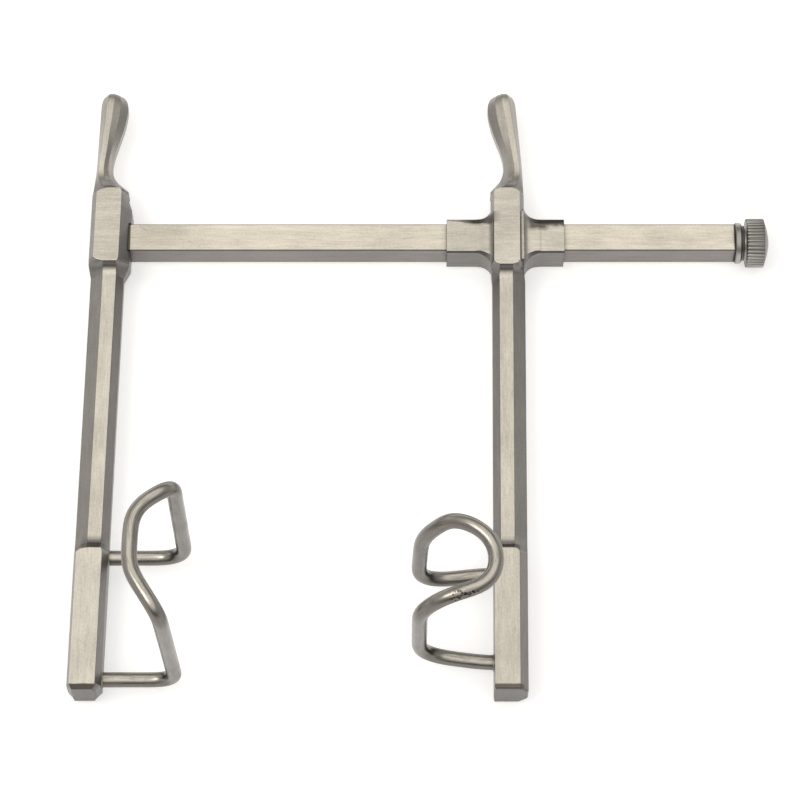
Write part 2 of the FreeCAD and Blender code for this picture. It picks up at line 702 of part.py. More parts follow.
def check_and_write(pieces):
    """Stop on anything that failed, then write each piece to a file of its own name."""
    doc.recompute()
    for item in doc.Objects:
        if {"Invalid", "Error"} & set(item.State):
            raise RuntimeError(f"{item.Name} failed: {item.State}")
    for piece in pieces:
        if piece.Shape.isNull() or not piece.Shape.isValid() or len(piece.Shape.Solids) != 1:
            raise RuntimeError(f"{piece.Label} is not one valid solid")
    os.makedirs("parts", exist_ok=True)
    for piece in pieces:
        piece.Shape.exportStep(f"parts/{piece.Label}.step")
        box = piece.Shape.BoundBox
        print(f"{piece.Label}: {piece.Shape.Volume:.1f} mm3, "
              f"X {box.XMin:.2f} to {box.XMax:.2f}, Y {box.YMin:.2f} to {box.YMax:.2f}, "
              f"Z {box.ZMin:.2f} to {box.ZMax:.2f}")


fill_sheet()
check_and_write([cross_bar(), fixed_arm(), sliding_arm(), fixed_blade(), sliding_blade(),
                 stop_washer(), stop_screw()])
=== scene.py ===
import logging
import math
from dataclasses import dataclass
from enum import Enum

import bmesh
import bpy
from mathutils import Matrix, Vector


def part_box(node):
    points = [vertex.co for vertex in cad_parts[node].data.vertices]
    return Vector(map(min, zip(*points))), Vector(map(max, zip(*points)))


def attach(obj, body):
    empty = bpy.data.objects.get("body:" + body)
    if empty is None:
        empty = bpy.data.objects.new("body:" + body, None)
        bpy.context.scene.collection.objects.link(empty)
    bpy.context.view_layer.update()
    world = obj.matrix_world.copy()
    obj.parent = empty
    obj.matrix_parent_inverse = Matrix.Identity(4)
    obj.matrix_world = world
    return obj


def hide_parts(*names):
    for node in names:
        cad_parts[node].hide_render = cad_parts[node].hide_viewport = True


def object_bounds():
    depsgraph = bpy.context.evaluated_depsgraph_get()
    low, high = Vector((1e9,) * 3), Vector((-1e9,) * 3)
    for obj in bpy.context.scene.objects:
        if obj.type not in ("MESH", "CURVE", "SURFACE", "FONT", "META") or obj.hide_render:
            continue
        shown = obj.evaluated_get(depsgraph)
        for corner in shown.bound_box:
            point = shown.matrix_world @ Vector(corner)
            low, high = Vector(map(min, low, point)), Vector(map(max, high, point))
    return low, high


# Looks of a self retaining retractor: finishes of the forged arms and the bar, round wire blades,
# the turned stop screw, brazed seams, the table that it lies on, the light and the camera.
# Everything is in metres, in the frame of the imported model.

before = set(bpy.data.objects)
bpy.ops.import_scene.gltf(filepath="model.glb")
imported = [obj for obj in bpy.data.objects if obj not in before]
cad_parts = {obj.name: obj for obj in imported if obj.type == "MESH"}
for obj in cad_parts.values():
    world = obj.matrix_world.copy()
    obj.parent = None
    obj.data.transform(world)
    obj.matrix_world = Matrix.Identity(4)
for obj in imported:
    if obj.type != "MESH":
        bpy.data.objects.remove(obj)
CAD_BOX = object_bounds()

MM = 0.001
# The range that holds most of a noise's values
NOISE_SPAN = (0.3, 0.7)
BEVEL_SAMPLES = 6
# Turns what stands along Z so that it lies along X
ONTO_X = (0.0, math.pi / 2, 0.0)
WELD_DISTANCE = 1e-7
SHARP_ANGLE = math.radians(32)
log = logging.getLogger("retractor")

Colour = tuple[float, float, float]
Point = tuple[float, float, float]
Socket = bpy.types.NodeSocket


class Brushing(Enum):
    """Which way the abrasive was drawn over a piece."""

    ALONG_X = (1.0, 14.0, 14.0)
    ALONG_Y = (14.0, 1.0, 14.0)
    AROUND_X = (16.0, 1.5, 1.5)


class Body(Enum):
    """The bodies that the scene's own pieces ride on."""

    FRAME = "frame"
    SLIDER = "slider"
    SCREW = "thumbscrew"


# ---- node trees ----


class Sketch:
    """A node tree being drawn, with short ways to add nodes and to join them."""

    def __init__(self, tree: bpy.types.NodeTree) -> None:
        """Start on an empty tree.

        Args:
            tree: The tree to draw in.
        """
        self.tree = tree
        tree.nodes.clear()

    def add(self, kind: str, inputs: dict | None = None, **settings: object) -> bpy.types.Node:
        """Add a node.

        Args:
            kind: The node's type.
            inputs: Values or sockets for its inputs, by name or by place.
            settings: Properties of the node.

        Returns:
            The new node.
        """
        node = self.tree.nodes.new(kind)
        for name, setting in settings.items():
            setattr(node, name, setting)
        for name, entry in (inputs or {}).items():
            if isinstance(entry, Socket):
                self.tree.links.new(entry, node.inputs[name])
            else:
                node.inputs[name].default_value = entry
        return node

    def maths(self, operation: str, first: object, second: object = 0.0) -> Socket:
        """Add a sum of one or two numbers.

        Args:
            operation: The sum's name.
            first: A number or a socket.
            second: A number or a socket.

        Returns:
            The result's socket.
        """
        return self.add("ShaderNodeMath", {0: first, 1: second}, operation=operation).outputs[0]

    def ramp(self, source: object, low: float, high: float, first: float = 0.0,
             last: float = 1.0) -> Socket:
        """Spread a range of a value over another range, without going past its ends.

        Args:
            source: The value's socket.
            low: Where the range starts.
            high: Where the range ends.
            first: The result at the start.
            last: The result at the end.

        Returns:
            The result's socket.
        """
        return self.add("ShaderNodeMapRange", {"Value": source, "From Min": low, "From Max": high,
                                               "To Min": first, "To Max": last}).outputs["Result"]

    def blend(self, factor: object, first: object, second: object) -> Socket:
        """Mix two colours.

        Args:
            factor: How much of the second shows.
            first: A colour or a socket.
            second: A colour or a socket.

        Returns:
            The mixed colour's socket.
        """
        node = self.add("ShaderNodeMix", data_type="RGBA")
        for place, entry in ((0, factor), (6, first), (7, second)):
            if isinstance(entry, Socket):
                self.tree.links.new(entry, node.inputs[place])
            else:
                node.inputs[place].default_value = (*entry, 1.0) if place else entry
        return node.outputs[2]

    def wash(self, mask: Socket, share: float, under: Socket, over: object) -> Socket:
        """Lay a colour over another through a mask.

        Args:
            mask: Where the upper colour shows.
            share: How much of it shows where the mask is 1.
            under: The lower colour's socket.
            over: The upper colour or its socket.

        Returns:
            The mixed colour's socket.
        """
        return self.blend(self.maths("MULTIPLY", mask, share), under, over)

    def vector(self, operation: str, *parts: object) -> Socket:
        """Add a sum of vectors.

        Args:
            operation: The sum's name.
            parts: Vectors or sockets, in the node's order.

        Returns:
            The socket of the resulting vector.
        """
        return self.add("ShaderNodeVectorMath", dict(enumerate(parts)), operation=operation).outputs[0]

    def noise(self, vector: Socket, scale: object, detail: float, roughness: float = 0.5) -> Socket:
        """Add a soft noise.

        Args:
            vector: Where the noise is read.
            scale: How fine it is, as a number or a socket.
            detail: How many finer layers it has.
            roughness: How strong the finer layers are.

        Returns:
            The socket of its value, which lies about 0.5.
        """
        return self.add("ShaderNodeTexNoise", {"Vector": vector, "Scale": scale, "Detail": detail,
                                               "Roughness": roughness}).outputs["Fac"]

    def metal(self, base: Socket, rough: Socket, bump: bpy.types.Node) -> None:
        """End a material with a metal's shader and the output.

        Args:
            base: The colour's socket.
            rough: The roughness's socket.
            bump: The node that gives the normal.
        """
        shader = self.add("ShaderNodeBsdfPrincipled", {
            "Base Color": base, "Metallic": 1.0, "Roughness": rough, "Normal": bump.outputs["Normal"]})
        self.add("ShaderNodeOutputMaterial", {"Surface": shader.outputs[0]})


def new_material(name: str) -> tuple[bpy.types.Material, Sketch]:
    """Make a material with an empty node tree.

    Args:
        name: The material's name.

    Returns:
        The material and its sketch.
    """
    material = bpy.data.materials.new(name)
    material.use_nodes = True
    return material, Sketch(material.node_tree)


def new_group(name: str, kind: str, inputs: dict[str, tuple[str, object]], outputs: dict[str, str]
              ) -> tuple[bpy.types.NodeTree, Sketch, bpy.types.Node, bpy.types.Node]:
    """Make a node group with named inputs and outputs.

    Args:
        name: The group's name.
        kind: The kind of tree.
        inputs: Each input's socket type and default value.
        outputs: Each output's socket type.

    Returns:
        The group, its sketch, its input node and its output node.
    """
    group = bpy.data.node_groups.new(name, kind)
    for label, (socket_type, default) in inputs.items():
        socket = group.interface.new_socket(label, in_out="INPUT", socket_type=socket_type)
        if default is not None:
            socket.default_value = default
    for label, socket_type in outputs.items():
        group.interface.new_socket(label, in_out="OUTPUT", socket_type=socket_type)
    sketch = Sketch(group)
    return group, sketch, sketch.add("NodeGroupInput"), sketch.add("NodeGroupOutput")


def brush_lines_group() -> bpy.types.NodeTree:
    """Fine lines left by an abrasive belt, with broader bands where it bit harder.

    Returns:
        The shader node group. Its Tone and Height lie about 0.5.
    """
    band_fineness, line_share, band_share = 0.22, 0.65, 0.35
    group, sketch, given, out = new_group(
        "brush_lines", "ShaderNodeTree",
        {"Vector": ("NodeSocketVector", None), "Stretch": ("NodeSocketVector", (1.0, 1.0, 1.0)),
         "Fineness": ("NodeSocketFloat", 300.0)},
        {"Tone": "NodeSocketFloat", "Height": "NodeSocketFloat"})
    fineness = given.outputs["Fineness"]
    drawn = sketch.vector("MULTIPLY", given.outputs["Vector"], given.outputs["Stretch"])
    lines = sketch.noise(drawn, fineness, detail=3.0, roughness=0.6)
    bands = sketch.noise(drawn, sketch.maths("MULTIPLY", fineness, band_fineness), detail=2.0)
    tone = sketch.maths("ADD", sketch.maths("MULTIPLY", lines, line_share),
                        sketch.maths("MULTIPLY", bands, band_share))
    sketch.tree.links.new(tone, out.inputs["Tone"])
    sketch.tree.links.new(lines, out.inputs["Height"])
    return group


def scratches_group() -> bpy.types.NodeTree:
    """Thin stray scratches at an angle in the XY plane, broken up along their length.

    Returns:
        The shader node group. Its Mask is 1 in a scratch.
    """
    long_drawn = (0.05, 1.0, 1.0)
    line_scale, line_start, line_rise = 2600.0, 0.78, 0.05
    patch_scale, patch_from, patch_to = 260.0, 0.5, 0.62
    group, sketch, given, out = new_group(
        "stray_scratches", "ShaderNodeTree",
        {"Vector": ("NodeSocketVector", None), "Angle": ("NodeSocketFloat", 0.6),
         "Density": ("NodeSocketFloat", 0.1)},
        {"Mask": "NodeSocketFloat"})
    turned = sketch.add("ShaderNodeVectorRotate", {"Vector": given.outputs["Vector"],
                                                   "Angle": given.outputs["Angle"]},
                        rotation_type="Z_AXIS").outputs[0]
    lines = sketch.noise(sketch.vector("MULTIPLY", turned, long_drawn), line_scale, detail=1.0)
    breaks = sketch.noise(given.outputs["Vector"], patch_scale, detail=2.0)
    start = sketch.maths("SUBTRACT", line_start, given.outputs["Density"])
    line = sketch.ramp(lines, start, sketch.maths("ADD", start, line_rise))
    patch = sketch.ramp(breaks, patch_from, patch_to)
    sketch.tree.links.new(sketch.maths("MULTIPLY", line, patch), out.inputs["Mask"])
    return group


def edge_light_and_hollow_shade_group() -> bpy.types.NodeTree:
    """Masks for painting light and shade: edges rounded to a small radius, and hollows.

    Returns:
        The shader node group. Its Edge is 1 where the given rounded normal leaves the face's own,
        and its Hollow is 1 deep in a corner or a gap. The finishes paint highlight and shade by them.
    """
    edge_from, edge_to = 0.995, 0.93
    hollow_from, hollow_to = 0.92, 0.35
    group, sketch, given, out = new_group(
        "edge_light_and_hollow_shade", "ShaderNodeTree",
        {"Normal": ("NodeSocketVector", None), "Reach": ("NodeSocketFloat", 1.5 * MM)},
        {"Edge": "NodeSocketFloat", "Hollow": "NodeSocketFloat"})
    geometry = sketch.add("ShaderNodeNewGeometry")
    close = sketch.add("ShaderNodeVectorMath", {0: given.outputs["Normal"],
                                                1: geometry.outputs["True Normal"]},
                       operation="DOT_PRODUCT").outputs["Value"]
    openness = sketch.add("ShaderNodeAmbientOcclusion", {"Distance": given.outputs["Reach"]}, samples=8)
    sketch.tree.links.new(sketch.ramp(close, edge_from, edge_to), out.inputs["Edge"])
    sketch.tree.links.new(sketch.ramp(openness.outputs["AO"], hollow_from, hollow_to),
                          out.inputs["Hollow"])
    return group


def mottle_group() -> bpy.types.NodeTree:
    """Slow drifts of tone over a hand finished surface.

    Returns:
        The shader node group. Its Tone lies about 0.5, and its Speckle is fine and soft.
    """
    group, sketch, given, out = new_group(
        "soft_mottle", "ShaderNodeTree",
        {"Vector": ("NodeSocketVector", None), "Patch": ("NodeSocketFloat", 90.0),
         "Grit": ("NodeSocketFloat", 2200.0)},
        {"Tone": "NodeSocketFloat", "Speckle": "NodeSocketFloat"})
    patches = sketch.noise(given.outputs["Vector"], given.outputs["Patch"], detail=2.0)
    grit = sketch.noise(given.outputs["Vector"], given.outputs["Grit"], detail=1.0)
    sketch.tree.links.new(patches, out.inputs["Tone"])
    sketch.tree.links.new(grit, out.inputs["Speckle"])
    return group


@dataclass(frozen=True)
class Effects:
    """The shader node groups that several finishes use."""

    brush_lines: bpy.types.NodeTree
    scratches: bpy.types.NodeTree
    edge_light_and_hollow_shade: bpy.types.NodeTree
    mottle: bpy.types.NodeTree

    def place(self, sketch: Sketch, effect: bpy.types.NodeTree, inputs: dict) -> bpy.types.Node:
        """Put one of the groups in a material, with values or sockets for its inputs."""
        return sketch.add("ShaderNodeGroup", inputs, node_tree=effect)


# ---- finishes ----


@dataclass(frozen=True)
class ShadeOrMark:
    """A darkened box seen from above, with soft and uneven edges. It is either painted shade, such as
    the shadow in a joint's gap, or a real mark.
    """

    low: tuple[float, float]
    high: tuple[float, float]
    fade: tuple[float, float]
    strength: float
    above: float
    rise: float
    wander: float


def shade_or_mark_mm(low: tuple[float, float], high: tuple[float, float], fade: tuple[float, float],
             strength: float, above: float = -1000.0, rise: float = 0.3, wander: float = 0.8) -> ShadeOrMark:
    """Describe a darkened box, painted shade or a real mark, by lengths in millimetres.

    Args:
        low: The box's lower X and Y.
        high: The box's upper X and Y.
        fade: How far the stain fades out beyond the box, in X and Y.
        strength: How dark it is, from 0 to 1.
        above: The height from which it shows.
        rise: The height over which it comes in.
        wander: How far its edges stray.

    Returns:
        The box, in metres.
    """
    low, high, fade = (tuple(length * MM for length in pair) for pair in (low, high, fade))
    return ShadeOrMark(low, high, fade, strength, above * MM, rise * MM, wander * MM)


def shade_and_mark_mask(sketch: Sketch, spot: Socket, shade_and_marks: tuple[ShadeOrMark, ...]) -> Socket:
    """Add the nodes that show where the darkened boxes are, painted shade and real marks.

    Args:
        sketch: The material's sketch.
        spot: Object coordinates.
        shade_and_marks: The darkened boxes.

    Returns:
        A socket that is as high as the strongest box's strength.
    """
    cloud_scale, cloud_detail, cloud_middle = 700.0, 3.0, (0.5, 0.5, 0.5)
    cloud = sketch.add("ShaderNodeTexNoise", {
        "Vector": spot, "Scale": cloud_scale, "Detail": cloud_detail})
    centred = sketch.vector("SUBTRACT", cloud.outputs["Color"], cloud_middle)
    strongest: Socket | None = None
    for darkening in shade_and_marks:
        shifted = sketch.vector("MULTIPLY_ADD", centred, (darkening.wander,) * 3, spot)
        parts = sketch.add("ShaderNodeSeparateXYZ", {0: shifted}).outputs
        mask = sketch.ramp(parts["Z"], darkening.above, darkening.above + darkening.rise, 0.0, darkening.strength)
        for axis, low, high, fade in zip("XY", darkening.low, darkening.high, darkening.fade):
            mask = sketch.maths("MULTIPLY", mask, sketch.ramp(parts[axis], low - fade, low))
            mask = sketch.maths("MULTIPLY", mask, sketch.ramp(parts[axis], high + fade, high))
        strongest = sketch.maths("MAXIMUM", strongest, mask) if strongest else mask
    return strongest


def shadow(colour: Colour) -> Colour:
    """Darken a colour by half."""
    return tuple(0.5 * part for part in colour)


@dataclass(frozen=True)
class GroundSteel:
    """Stainless steel with belt-ground faces front and back and darker sides. The sides' darkness is
    partly a duller finish and partly painted shade.

    A face counts as ground by how upright its normal is, from flat_from to flat_to. Above the station
    polished_from, on the finger horns, the sides are brighter too. Between cross_from and cross_to the
    belt ran across the piece. Along the edges it paints edge_tone on upright faces and shade on the
    others, and it paints shade in hollows and in the given dark boxes.
    """

    name: str
    ground: Colour
    side: Colour
    brushing: Brushing
    shade_and_marks: tuple[ShadeOrMark, ...]
    # Colour painted along upright faces' edges: a painted highlight where light, a painted dark line
    # where dark
    edge_tone: Colour
    edge_share: float
    cross_from: float | None = None
    cross_to: float | None = None
    cross_fade: float = 0.2 * MM
    polished_from: float = 13.0 * MM
    polish_rise: float = 4.0 * MM
    polish: float = 0.4
    flat_from: float = 0.72
    flat_to: float = 0.985
    lit_edge_from: float = 0.96
    lit_edge_to: float = 0.99
    fineness: float = 260.0
    line_strength: float = 0.5
    mottle_strength: float = 0.3
    speckle_strength: float = 0.2
    dark_from: float = 0.62
    dark_to: float = 0.33
    dark_share: float = 0.42
    scratch: Colour = (0.3, 0.28, 0.26)
    scratch_share: float = 0.3
    # Painted shade: how much of it the hollows take, and its colour, which is also painted along side
    # faces' edges and in the dark boxes
    hollow_share: float = 0.65
    painted_shade: Colour = (0.075, 0.067, 0.06)
    edge_radius: float = 0.22 * MM
    edge_reach: float = 0.22 * MM
    roughness: float = 0.36
    duller: float = 0.08
    glossier: float = 0.06
    bump_strength: float = 0.22
    bump_height: float = 0.02 * MM

    def brushed(self, sketch: Sketch, effects: Effects, spot: Socket,
                station: Socket) -> tuple[Socket, Socket]:
        """Add the belt's lines, which turn where the belt ran across the piece.

        Args:
            sketch: The material's sketch.
            effects: The shared node groups.
            spot: Object coordinates.
            station: Their Y.

        Returns:
            The sockets of the lines' tone and height.
        """
        lines = effects.place(sketch, effects.brush_lines, {
            "Vector": spot, "Stretch": self.brushing.value, "Fineness": self.fineness}).outputs
        if self.cross_from is None:
            return lines["Tone"], lines["Height"]
        cross = effects.place(sketch, effects.brush_lines, {
            "Vector": spot, "Stretch": Brushing.ALONG_X.value, "Fineness": self.fineness}).outputs
        inside = sketch.maths(
            "MULTIPLY", sketch.ramp(station, self.cross_from - self.cross_fade, self.cross_from),
            sketch.ramp(station, self.cross_to + self.cross_fade, self.cross_to))
        tone, height = (
            sketch.add("ShaderNodeMix", {0: inside, 2: lines[label], 3: cross[label]},
                       data_type="FLOAT").outputs[0] for label in ("Tone", "Height"))
        return tone, height

    def build(self, effects: Effects) -> bpy.types.Material:
        """Make the material.

        Args:
            effects: The shared node groups.

        Returns:
            The material.
        """
        material, sketch = new_material(self.name)
        place = sketch.add("ShaderNodeTexCoord")
        spot = place.outputs["Object"]
        facing = sketch.add("ShaderNodeSeparateXYZ", {0: place.outputs["Normal"]}).outputs["Z"]
        upright = sketch.maths("ABSOLUTE", facing)
        station = sketch.add("ShaderNodeSeparateXYZ", {0: spot}).outputs["Y"]
        polished = sketch.ramp(station, self.polished_from, self.polished_from + self.polish_rise,
                               0.0, self.polish)
        flat = sketch.maths("MAXIMUM", sketch.ramp(upright, self.flat_from, self.flat_to), polished)
        tone, height = self.brushed(sketch, effects, spot, station)
        mottle = effects.place(sketch, effects.mottle, {"Vector": spot}).outputs
        scratches = effects.place(sketch, effects.scratches, {"Vector": spot}).outputs
        rounded = sketch.add("ShaderNodeBevel", {"Radius": self.edge_radius}, samples=BEVEL_SAMPLES)
        near_edge = sketch.add("ShaderNodeBevel", {"Radius": self.edge_reach}, samples=BEVEL_SAMPLES)
        edges = effects.place(sketch, effects.edge_light_and_hollow_shade, {
            "Normal": near_edge.outputs["Normal"]}).outputs
        # Sides take the side colour: partly a duller finish, partly painted shade
        base = sketch.blend(flat, self.side, self.ground)
        shade = sketch.maths("ADD", sketch.maths("MULTIPLY", tone, self.line_strength),
                             sketch.maths("MULTIPLY", mottle["Tone"], self.mottle_strength))
        shade = sketch.maths("ADD", shade,
                             sketch.maths("MULTIPLY", mottle["Speckle"], self.speckle_strength))
        dark = sketch.ramp(shade, self.dark_to, self.dark_from, self.dark_share, 0.0)
        base = sketch.blend(dark, base, shadow(self.side))
        base = sketch.wash(scratches["Mask"], self.scratch_share, base, self.scratch)
        # Paints edge_tone along upright faces' edges (a painted highlight or a painted dark line), and
        # painted shade along the other faces' edges, in hollows and in the dark boxes
        rim = sketch.blend(sketch.ramp(upright, self.lit_edge_from, self.lit_edge_to),
                           self.painted_shade, self.edge_tone)
        base = sketch.wash(edges["Edge"], self.edge_share, base, rim)
        base = sketch.wash(edges["Hollow"], self.hollow_share, base, self.painted_shade)
        base = sketch.blend(shade_and_mark_mask(sketch, spot, self.shade_and_marks), base, self.painted_shade)
        rough = sketch.ramp(tone, *NOISE_SPAN, self.roughness + self.duller,
                            self.roughness - self.glossier)
        bump = sketch.add("ShaderNodeBump", {
            "Strength": self.bump_strength, "Distance": self.bump_height, "Height": height,
            "Normal": rounded.outputs["Normal"]})
        sketch.metal(base, rough, bump)
        return material


@dataclass(frozen=True)
class DrawnWire:
    """Bright drawn steel wire, with darker streaks along it and pits, a painted highlight on its upward
    side, and painted shade on its sides and in the hollows where it crosses.

    Its pattern follows the attributes that the wire's tree stores: rim, the way outwards from the
    wire's middle, and along, the metres from its start.
    """

    name: str
    # bright is the painted highlight on the upward side, and side is the painted shade on the sides
    bright: Colour
    side: Colour
    # Colour of the streaks and pits, and also of the painted shade in hollows
    streak_and_shade: Colour
    shade_and_marks: tuple[ShadeOrMark, ...]
    stain_tone: Colour = (0.03, 0.025, 0.02)
    upper_from: float = 0.62
    upper_to: float = 0.98
    drawn_out: float = 60.0
    streak_scale: float = 3.2
    streak_from: float = 0.46
    streak_to: float = 0.66
    streak_share: float = 0.5
    line_scale: float = 15.0
    patch: float = 160.0
    pit_from: float = 0.66
    pit_to: float = 0.74
    pit_share: float = 0.3
    hollow_reach: float = 1.2 * MM
    hollow_share: float = 0.7
    mark_scale: float = 1900.0
    mark_from: float = 0.5
    mark_to: float = 0.3
    roughness: float = 0.25
    duller: float = 0.08
    glossier: float = 0.06
    bump_strength: float = 0.3
    bump_height: float = 0.03 * MM

    def build(self, effects: Effects) -> bpy.types.Material:
        """Make the material.

        Args:
            effects: The shared node groups.

        Returns:
            The material.
        """
        material, sketch = new_material(self.name)
        rim = sketch.add("ShaderNodeAttribute", attribute_name="rim").outputs["Vector"]
        along = sketch.add("ShaderNodeAttribute", attribute_name="along").outputs["Fac"]
        place = sketch.add("ShaderNodeTexCoord")
        spot = place.outputs["Object"]
        facing = sketch.add("ShaderNodeSeparateXYZ", {0: place.outputs["Normal"]}).outputs["Z"]
        upper = sketch.ramp(sketch.maths("ABSOLUTE", facing), self.upper_from, self.upper_to)
        lengthwise = sketch.add("ShaderNodeCombineXYZ", {
            "Z": sketch.maths("MULTIPLY", along, self.drawn_out)}).outputs[0]
        wrapped = sketch.vector("ADD", rim, lengthwise)
        streaks = sketch.noise(wrapped, self.streak_scale, detail=4.0, roughness=0.65)
        lines = sketch.noise(wrapped, self.line_scale, detail=2.0)
        mottle = effects.place(sketch, effects.mottle, {"Vector": spot, "Patch": self.patch}).outputs
        pitted = sketch.ramp(mottle["Speckle"], self.pit_from, self.pit_to)
        hollows = effects.place(sketch, effects.edge_light_and_hollow_shade, {"Reach": self.hollow_reach}).outputs
        # Painted highlight on the upward side, painted shade on the sides
        base = sketch.blend(upper, self.side, self.bright)
        streaked = sketch.ramp(streaks, self.streak_from, self.streak_to, 0.0, self.streak_share)
        base = sketch.blend(streaked, base, self.streak_and_shade)
        base = sketch.wash(pitted, self.pit_share, base, self.streak_and_shade)
        # Painted shade in the hollows
        base = sketch.wash(hollows["Hollow"], self.hollow_share, base, self.streak_and_shade)
        marks = sketch.add("ShaderNodeTexVoronoi", {"Vector": spot, "Scale": self.mark_scale})
        marked = sketch.maths("MULTIPLY", shade_and_mark_mask(sketch, spot, self.shade_and_marks),
                              sketch.ramp(marks.outputs["Distance"], self.mark_from, self.mark_to))
        base = sketch.blend(marked, base, self.stain_tone)
        rough = sketch.ramp(mottle["Tone"], *NOISE_SPAN, self.roughness - self.glossier,
                            self.roughness + self.duller)
        bump = sketch.add("ShaderNodeBump", {
            "Strength": self.bump_strength, "Distance": self.bump_height, "Height": lines})
        sketch.metal(base, rough, bump)
        return material


@dataclass(frozen=True)
class TurnedSteel:
    """Steel turned on a lathe about the bar's axis, darker between two radii, with painted shade in
    hollows and on the faces that look along the axis.
    """

    name: str
    bright: Colour
    # The colour between the radii, which is also the painted shade in hollows, then the painted shade
    # on faces that look along the axis
    groove: Colour
    end: Colour
    groove_start: float
    groove_end: float
    groove_edge: float = 0.15 * MM
    end_from: float = 0.3
    end_to: float = 0.8
    fineness: float = 420.0
    patch: float = 300.0
    dark_from: float = 0.65
    dark_to: float = 0.35
    dark_share: float = 0.25
    hollow_reach: float = 0.9 * MM
    hollow_share: float = 0.6
    edge_radius: float = 0.1 * MM
    roughness: float = 0.33
    duller: float = 0.08
    glossier: float = 0.05
    bump_strength: float = 0.25
    bump_height: float = 0.02 * MM

    def build(self, effects: Effects) -> bpy.types.Material:
        """Make the material.

        Args:
            effects: The shared node groups.

        Returns:
            The material.
        """
        material, sketch = new_material(self.name)
        place = sketch.add("ShaderNodeTexCoord")
        spot = place.outputs["Object"]
        lengthwise = sketch.add("ShaderNodeSeparateXYZ", {0: place.outputs["Normal"]}).outputs["X"]
        ends = sketch.ramp(sketch.maths("ABSOLUTE", lengthwise), self.end_from, self.end_to)
        parts = sketch.add("ShaderNodeSeparateXYZ", {0: spot}).outputs
        axis_height = (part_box("cross_bar")[0][2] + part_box("cross_bar")[1][2]) / 2
        height = sketch.maths("SUBTRACT", parts["Z"], axis_height)
        across = sketch.maths("POWER", parts["Y"], 2.0)
        reach = sketch.maths("SQRT", sketch.maths("ADD", across, sketch.maths("POWER", height, 2.0)))
        grooved = sketch.maths(
            "MULTIPLY", sketch.ramp(reach, self.groove_start, self.groove_start + self.groove_edge),
            sketch.ramp(reach, self.groove_end, self.groove_end - self.groove_edge))
        turned = effects.place(sketch, effects.brush_lines, {
            "Vector": spot, "Stretch": Brushing.AROUND_X.value, "Fineness": self.fineness}).outputs
        mottle = effects.place(sketch, effects.mottle, {"Vector": spot, "Patch": self.patch}).outputs
        rounded = sketch.add("ShaderNodeBevel", {"Radius": self.edge_radius}, samples=BEVEL_SAMPLES)
        hollows = effects.place(sketch, effects.edge_light_and_hollow_shade, {"Reach": self.hollow_reach}).outputs
        # Painted shade on the faces that look along the axis
        base = sketch.blend(ends, self.bright, self.end)
        base = sketch.blend(grooved, base, self.groove)
        # Painted shade in hollows
        base = sketch.wash(hollows["Hollow"], self.hollow_share, base, self.groove)
        shade = sketch.ramp(turned["Tone"], self.dark_to, self.dark_from, self.dark_share, 0.0)
        base = sketch.blend(shade, base, shadow(self.bright))
        rough = sketch.ramp(mottle["Tone"], *NOISE_SPAN, self.roughness - self.glossier,
                            self.roughness + self.duller)
        bump = sketch.add("ShaderNodeBump", {
            "Strength": self.bump_strength, "Distance": self.bump_height, "Height": turned["Height"],
            "Normal": rounded.outputs["Normal"]})
        sketch.metal(base, rough, bump)
        return material


@dataclass(frozen=True)
class BrazeMetal:
    """Silver braze, slightly yellow and uneven."""

    name: str
    colour: Colour
    dark: Colour
    patch: float = 900.0
    grit: float = 4200.0
    bright_from: float = 0.4
    bright_to: float = 0.62
    glossiest: float = 0.36
    dullest: float = 0.56
    bump_strength: float = 0.4
    bump_height: float = 0.04 * MM

    def build(self, effects: Effects) -> bpy.types.Material:
        """Make the material.

        Args:
            effects: The shared node groups.

        Returns:
            The material.
        """
        material, sketch = new_material(self.name)
        spot = sketch.add("ShaderNodeTexCoord").outputs["Object"]
        mottle = effects.place(sketch, effects.mottle, {
            "Vector": spot, "Patch": self.patch, "Grit": self.grit}).outputs
        base = sketch.blend(sketch.ramp(mottle["Tone"], self.bright_from, self.bright_to),
                            self.dark, self.colour)
        rough = sketch.ramp(mottle["Speckle"], *NOISE_SPAN, self.glossiest, self.dullest)
        bump = sketch.add("ShaderNodeBump", {
            "Strength": self.bump_strength, "Distance": self.bump_height, "Height": mottle["Tone"]})
        sketch.metal(base, rough, bump)
        return material


# ---- making pieces ----


def new_object(name: str, points: list[Point], edges: list[tuple[int, int]],
               faces: list[tuple[int, ...]]) -> bpy.types.Object:
    """Make an object at the origin from its points, edges and faces.

    Args:
        name: The object's name.
        points: Corners in metres.
        edges: Pairs of corners.
        faces: Rings of corners.

    Returns:
        The object, linked to the scene.
    """
    mesh = bpy.data.meshes.new(name)
    mesh.from_pydata(points, edges, faces)
    mesh.update()
    thing = bpy.data.objects.new(name, mesh)
    bpy.context.scene.collection.objects.link(thing)
    return thing


def grow(thing: bpy.types.Object, tree: bpy.types.NodeTree,
         inputs: dict[str, object]) -> bpy.types.Object:
    """Run a geometry node tree on an object and keep its result as a plain mesh.

    Args:
        thing: The object that carries the starting shape.
        tree: The geometry node tree.
        inputs: Values for the tree's inputs, by name.

    Returns:
        The same object with its finished mesh.
    """
    modifier = thing.modifiers.new(tree.name, "NODES")
    modifier.node_group = tree
    for item in tree.interface.items_tree:
        if item.item_type == "SOCKET" and item.in_out == "INPUT" and item.name in inputs:
            modifier[item.identifier] = inputs[item.name]
    evaluated = thing.evaluated_get(bpy.context.evaluated_depsgraph_get())
    mesh = bpy.data.meshes.new_from_object(evaluated)
    thing.modifiers.remove(modifier)
    mesh.name = thing.name
    thing.data = mesh
    return thing


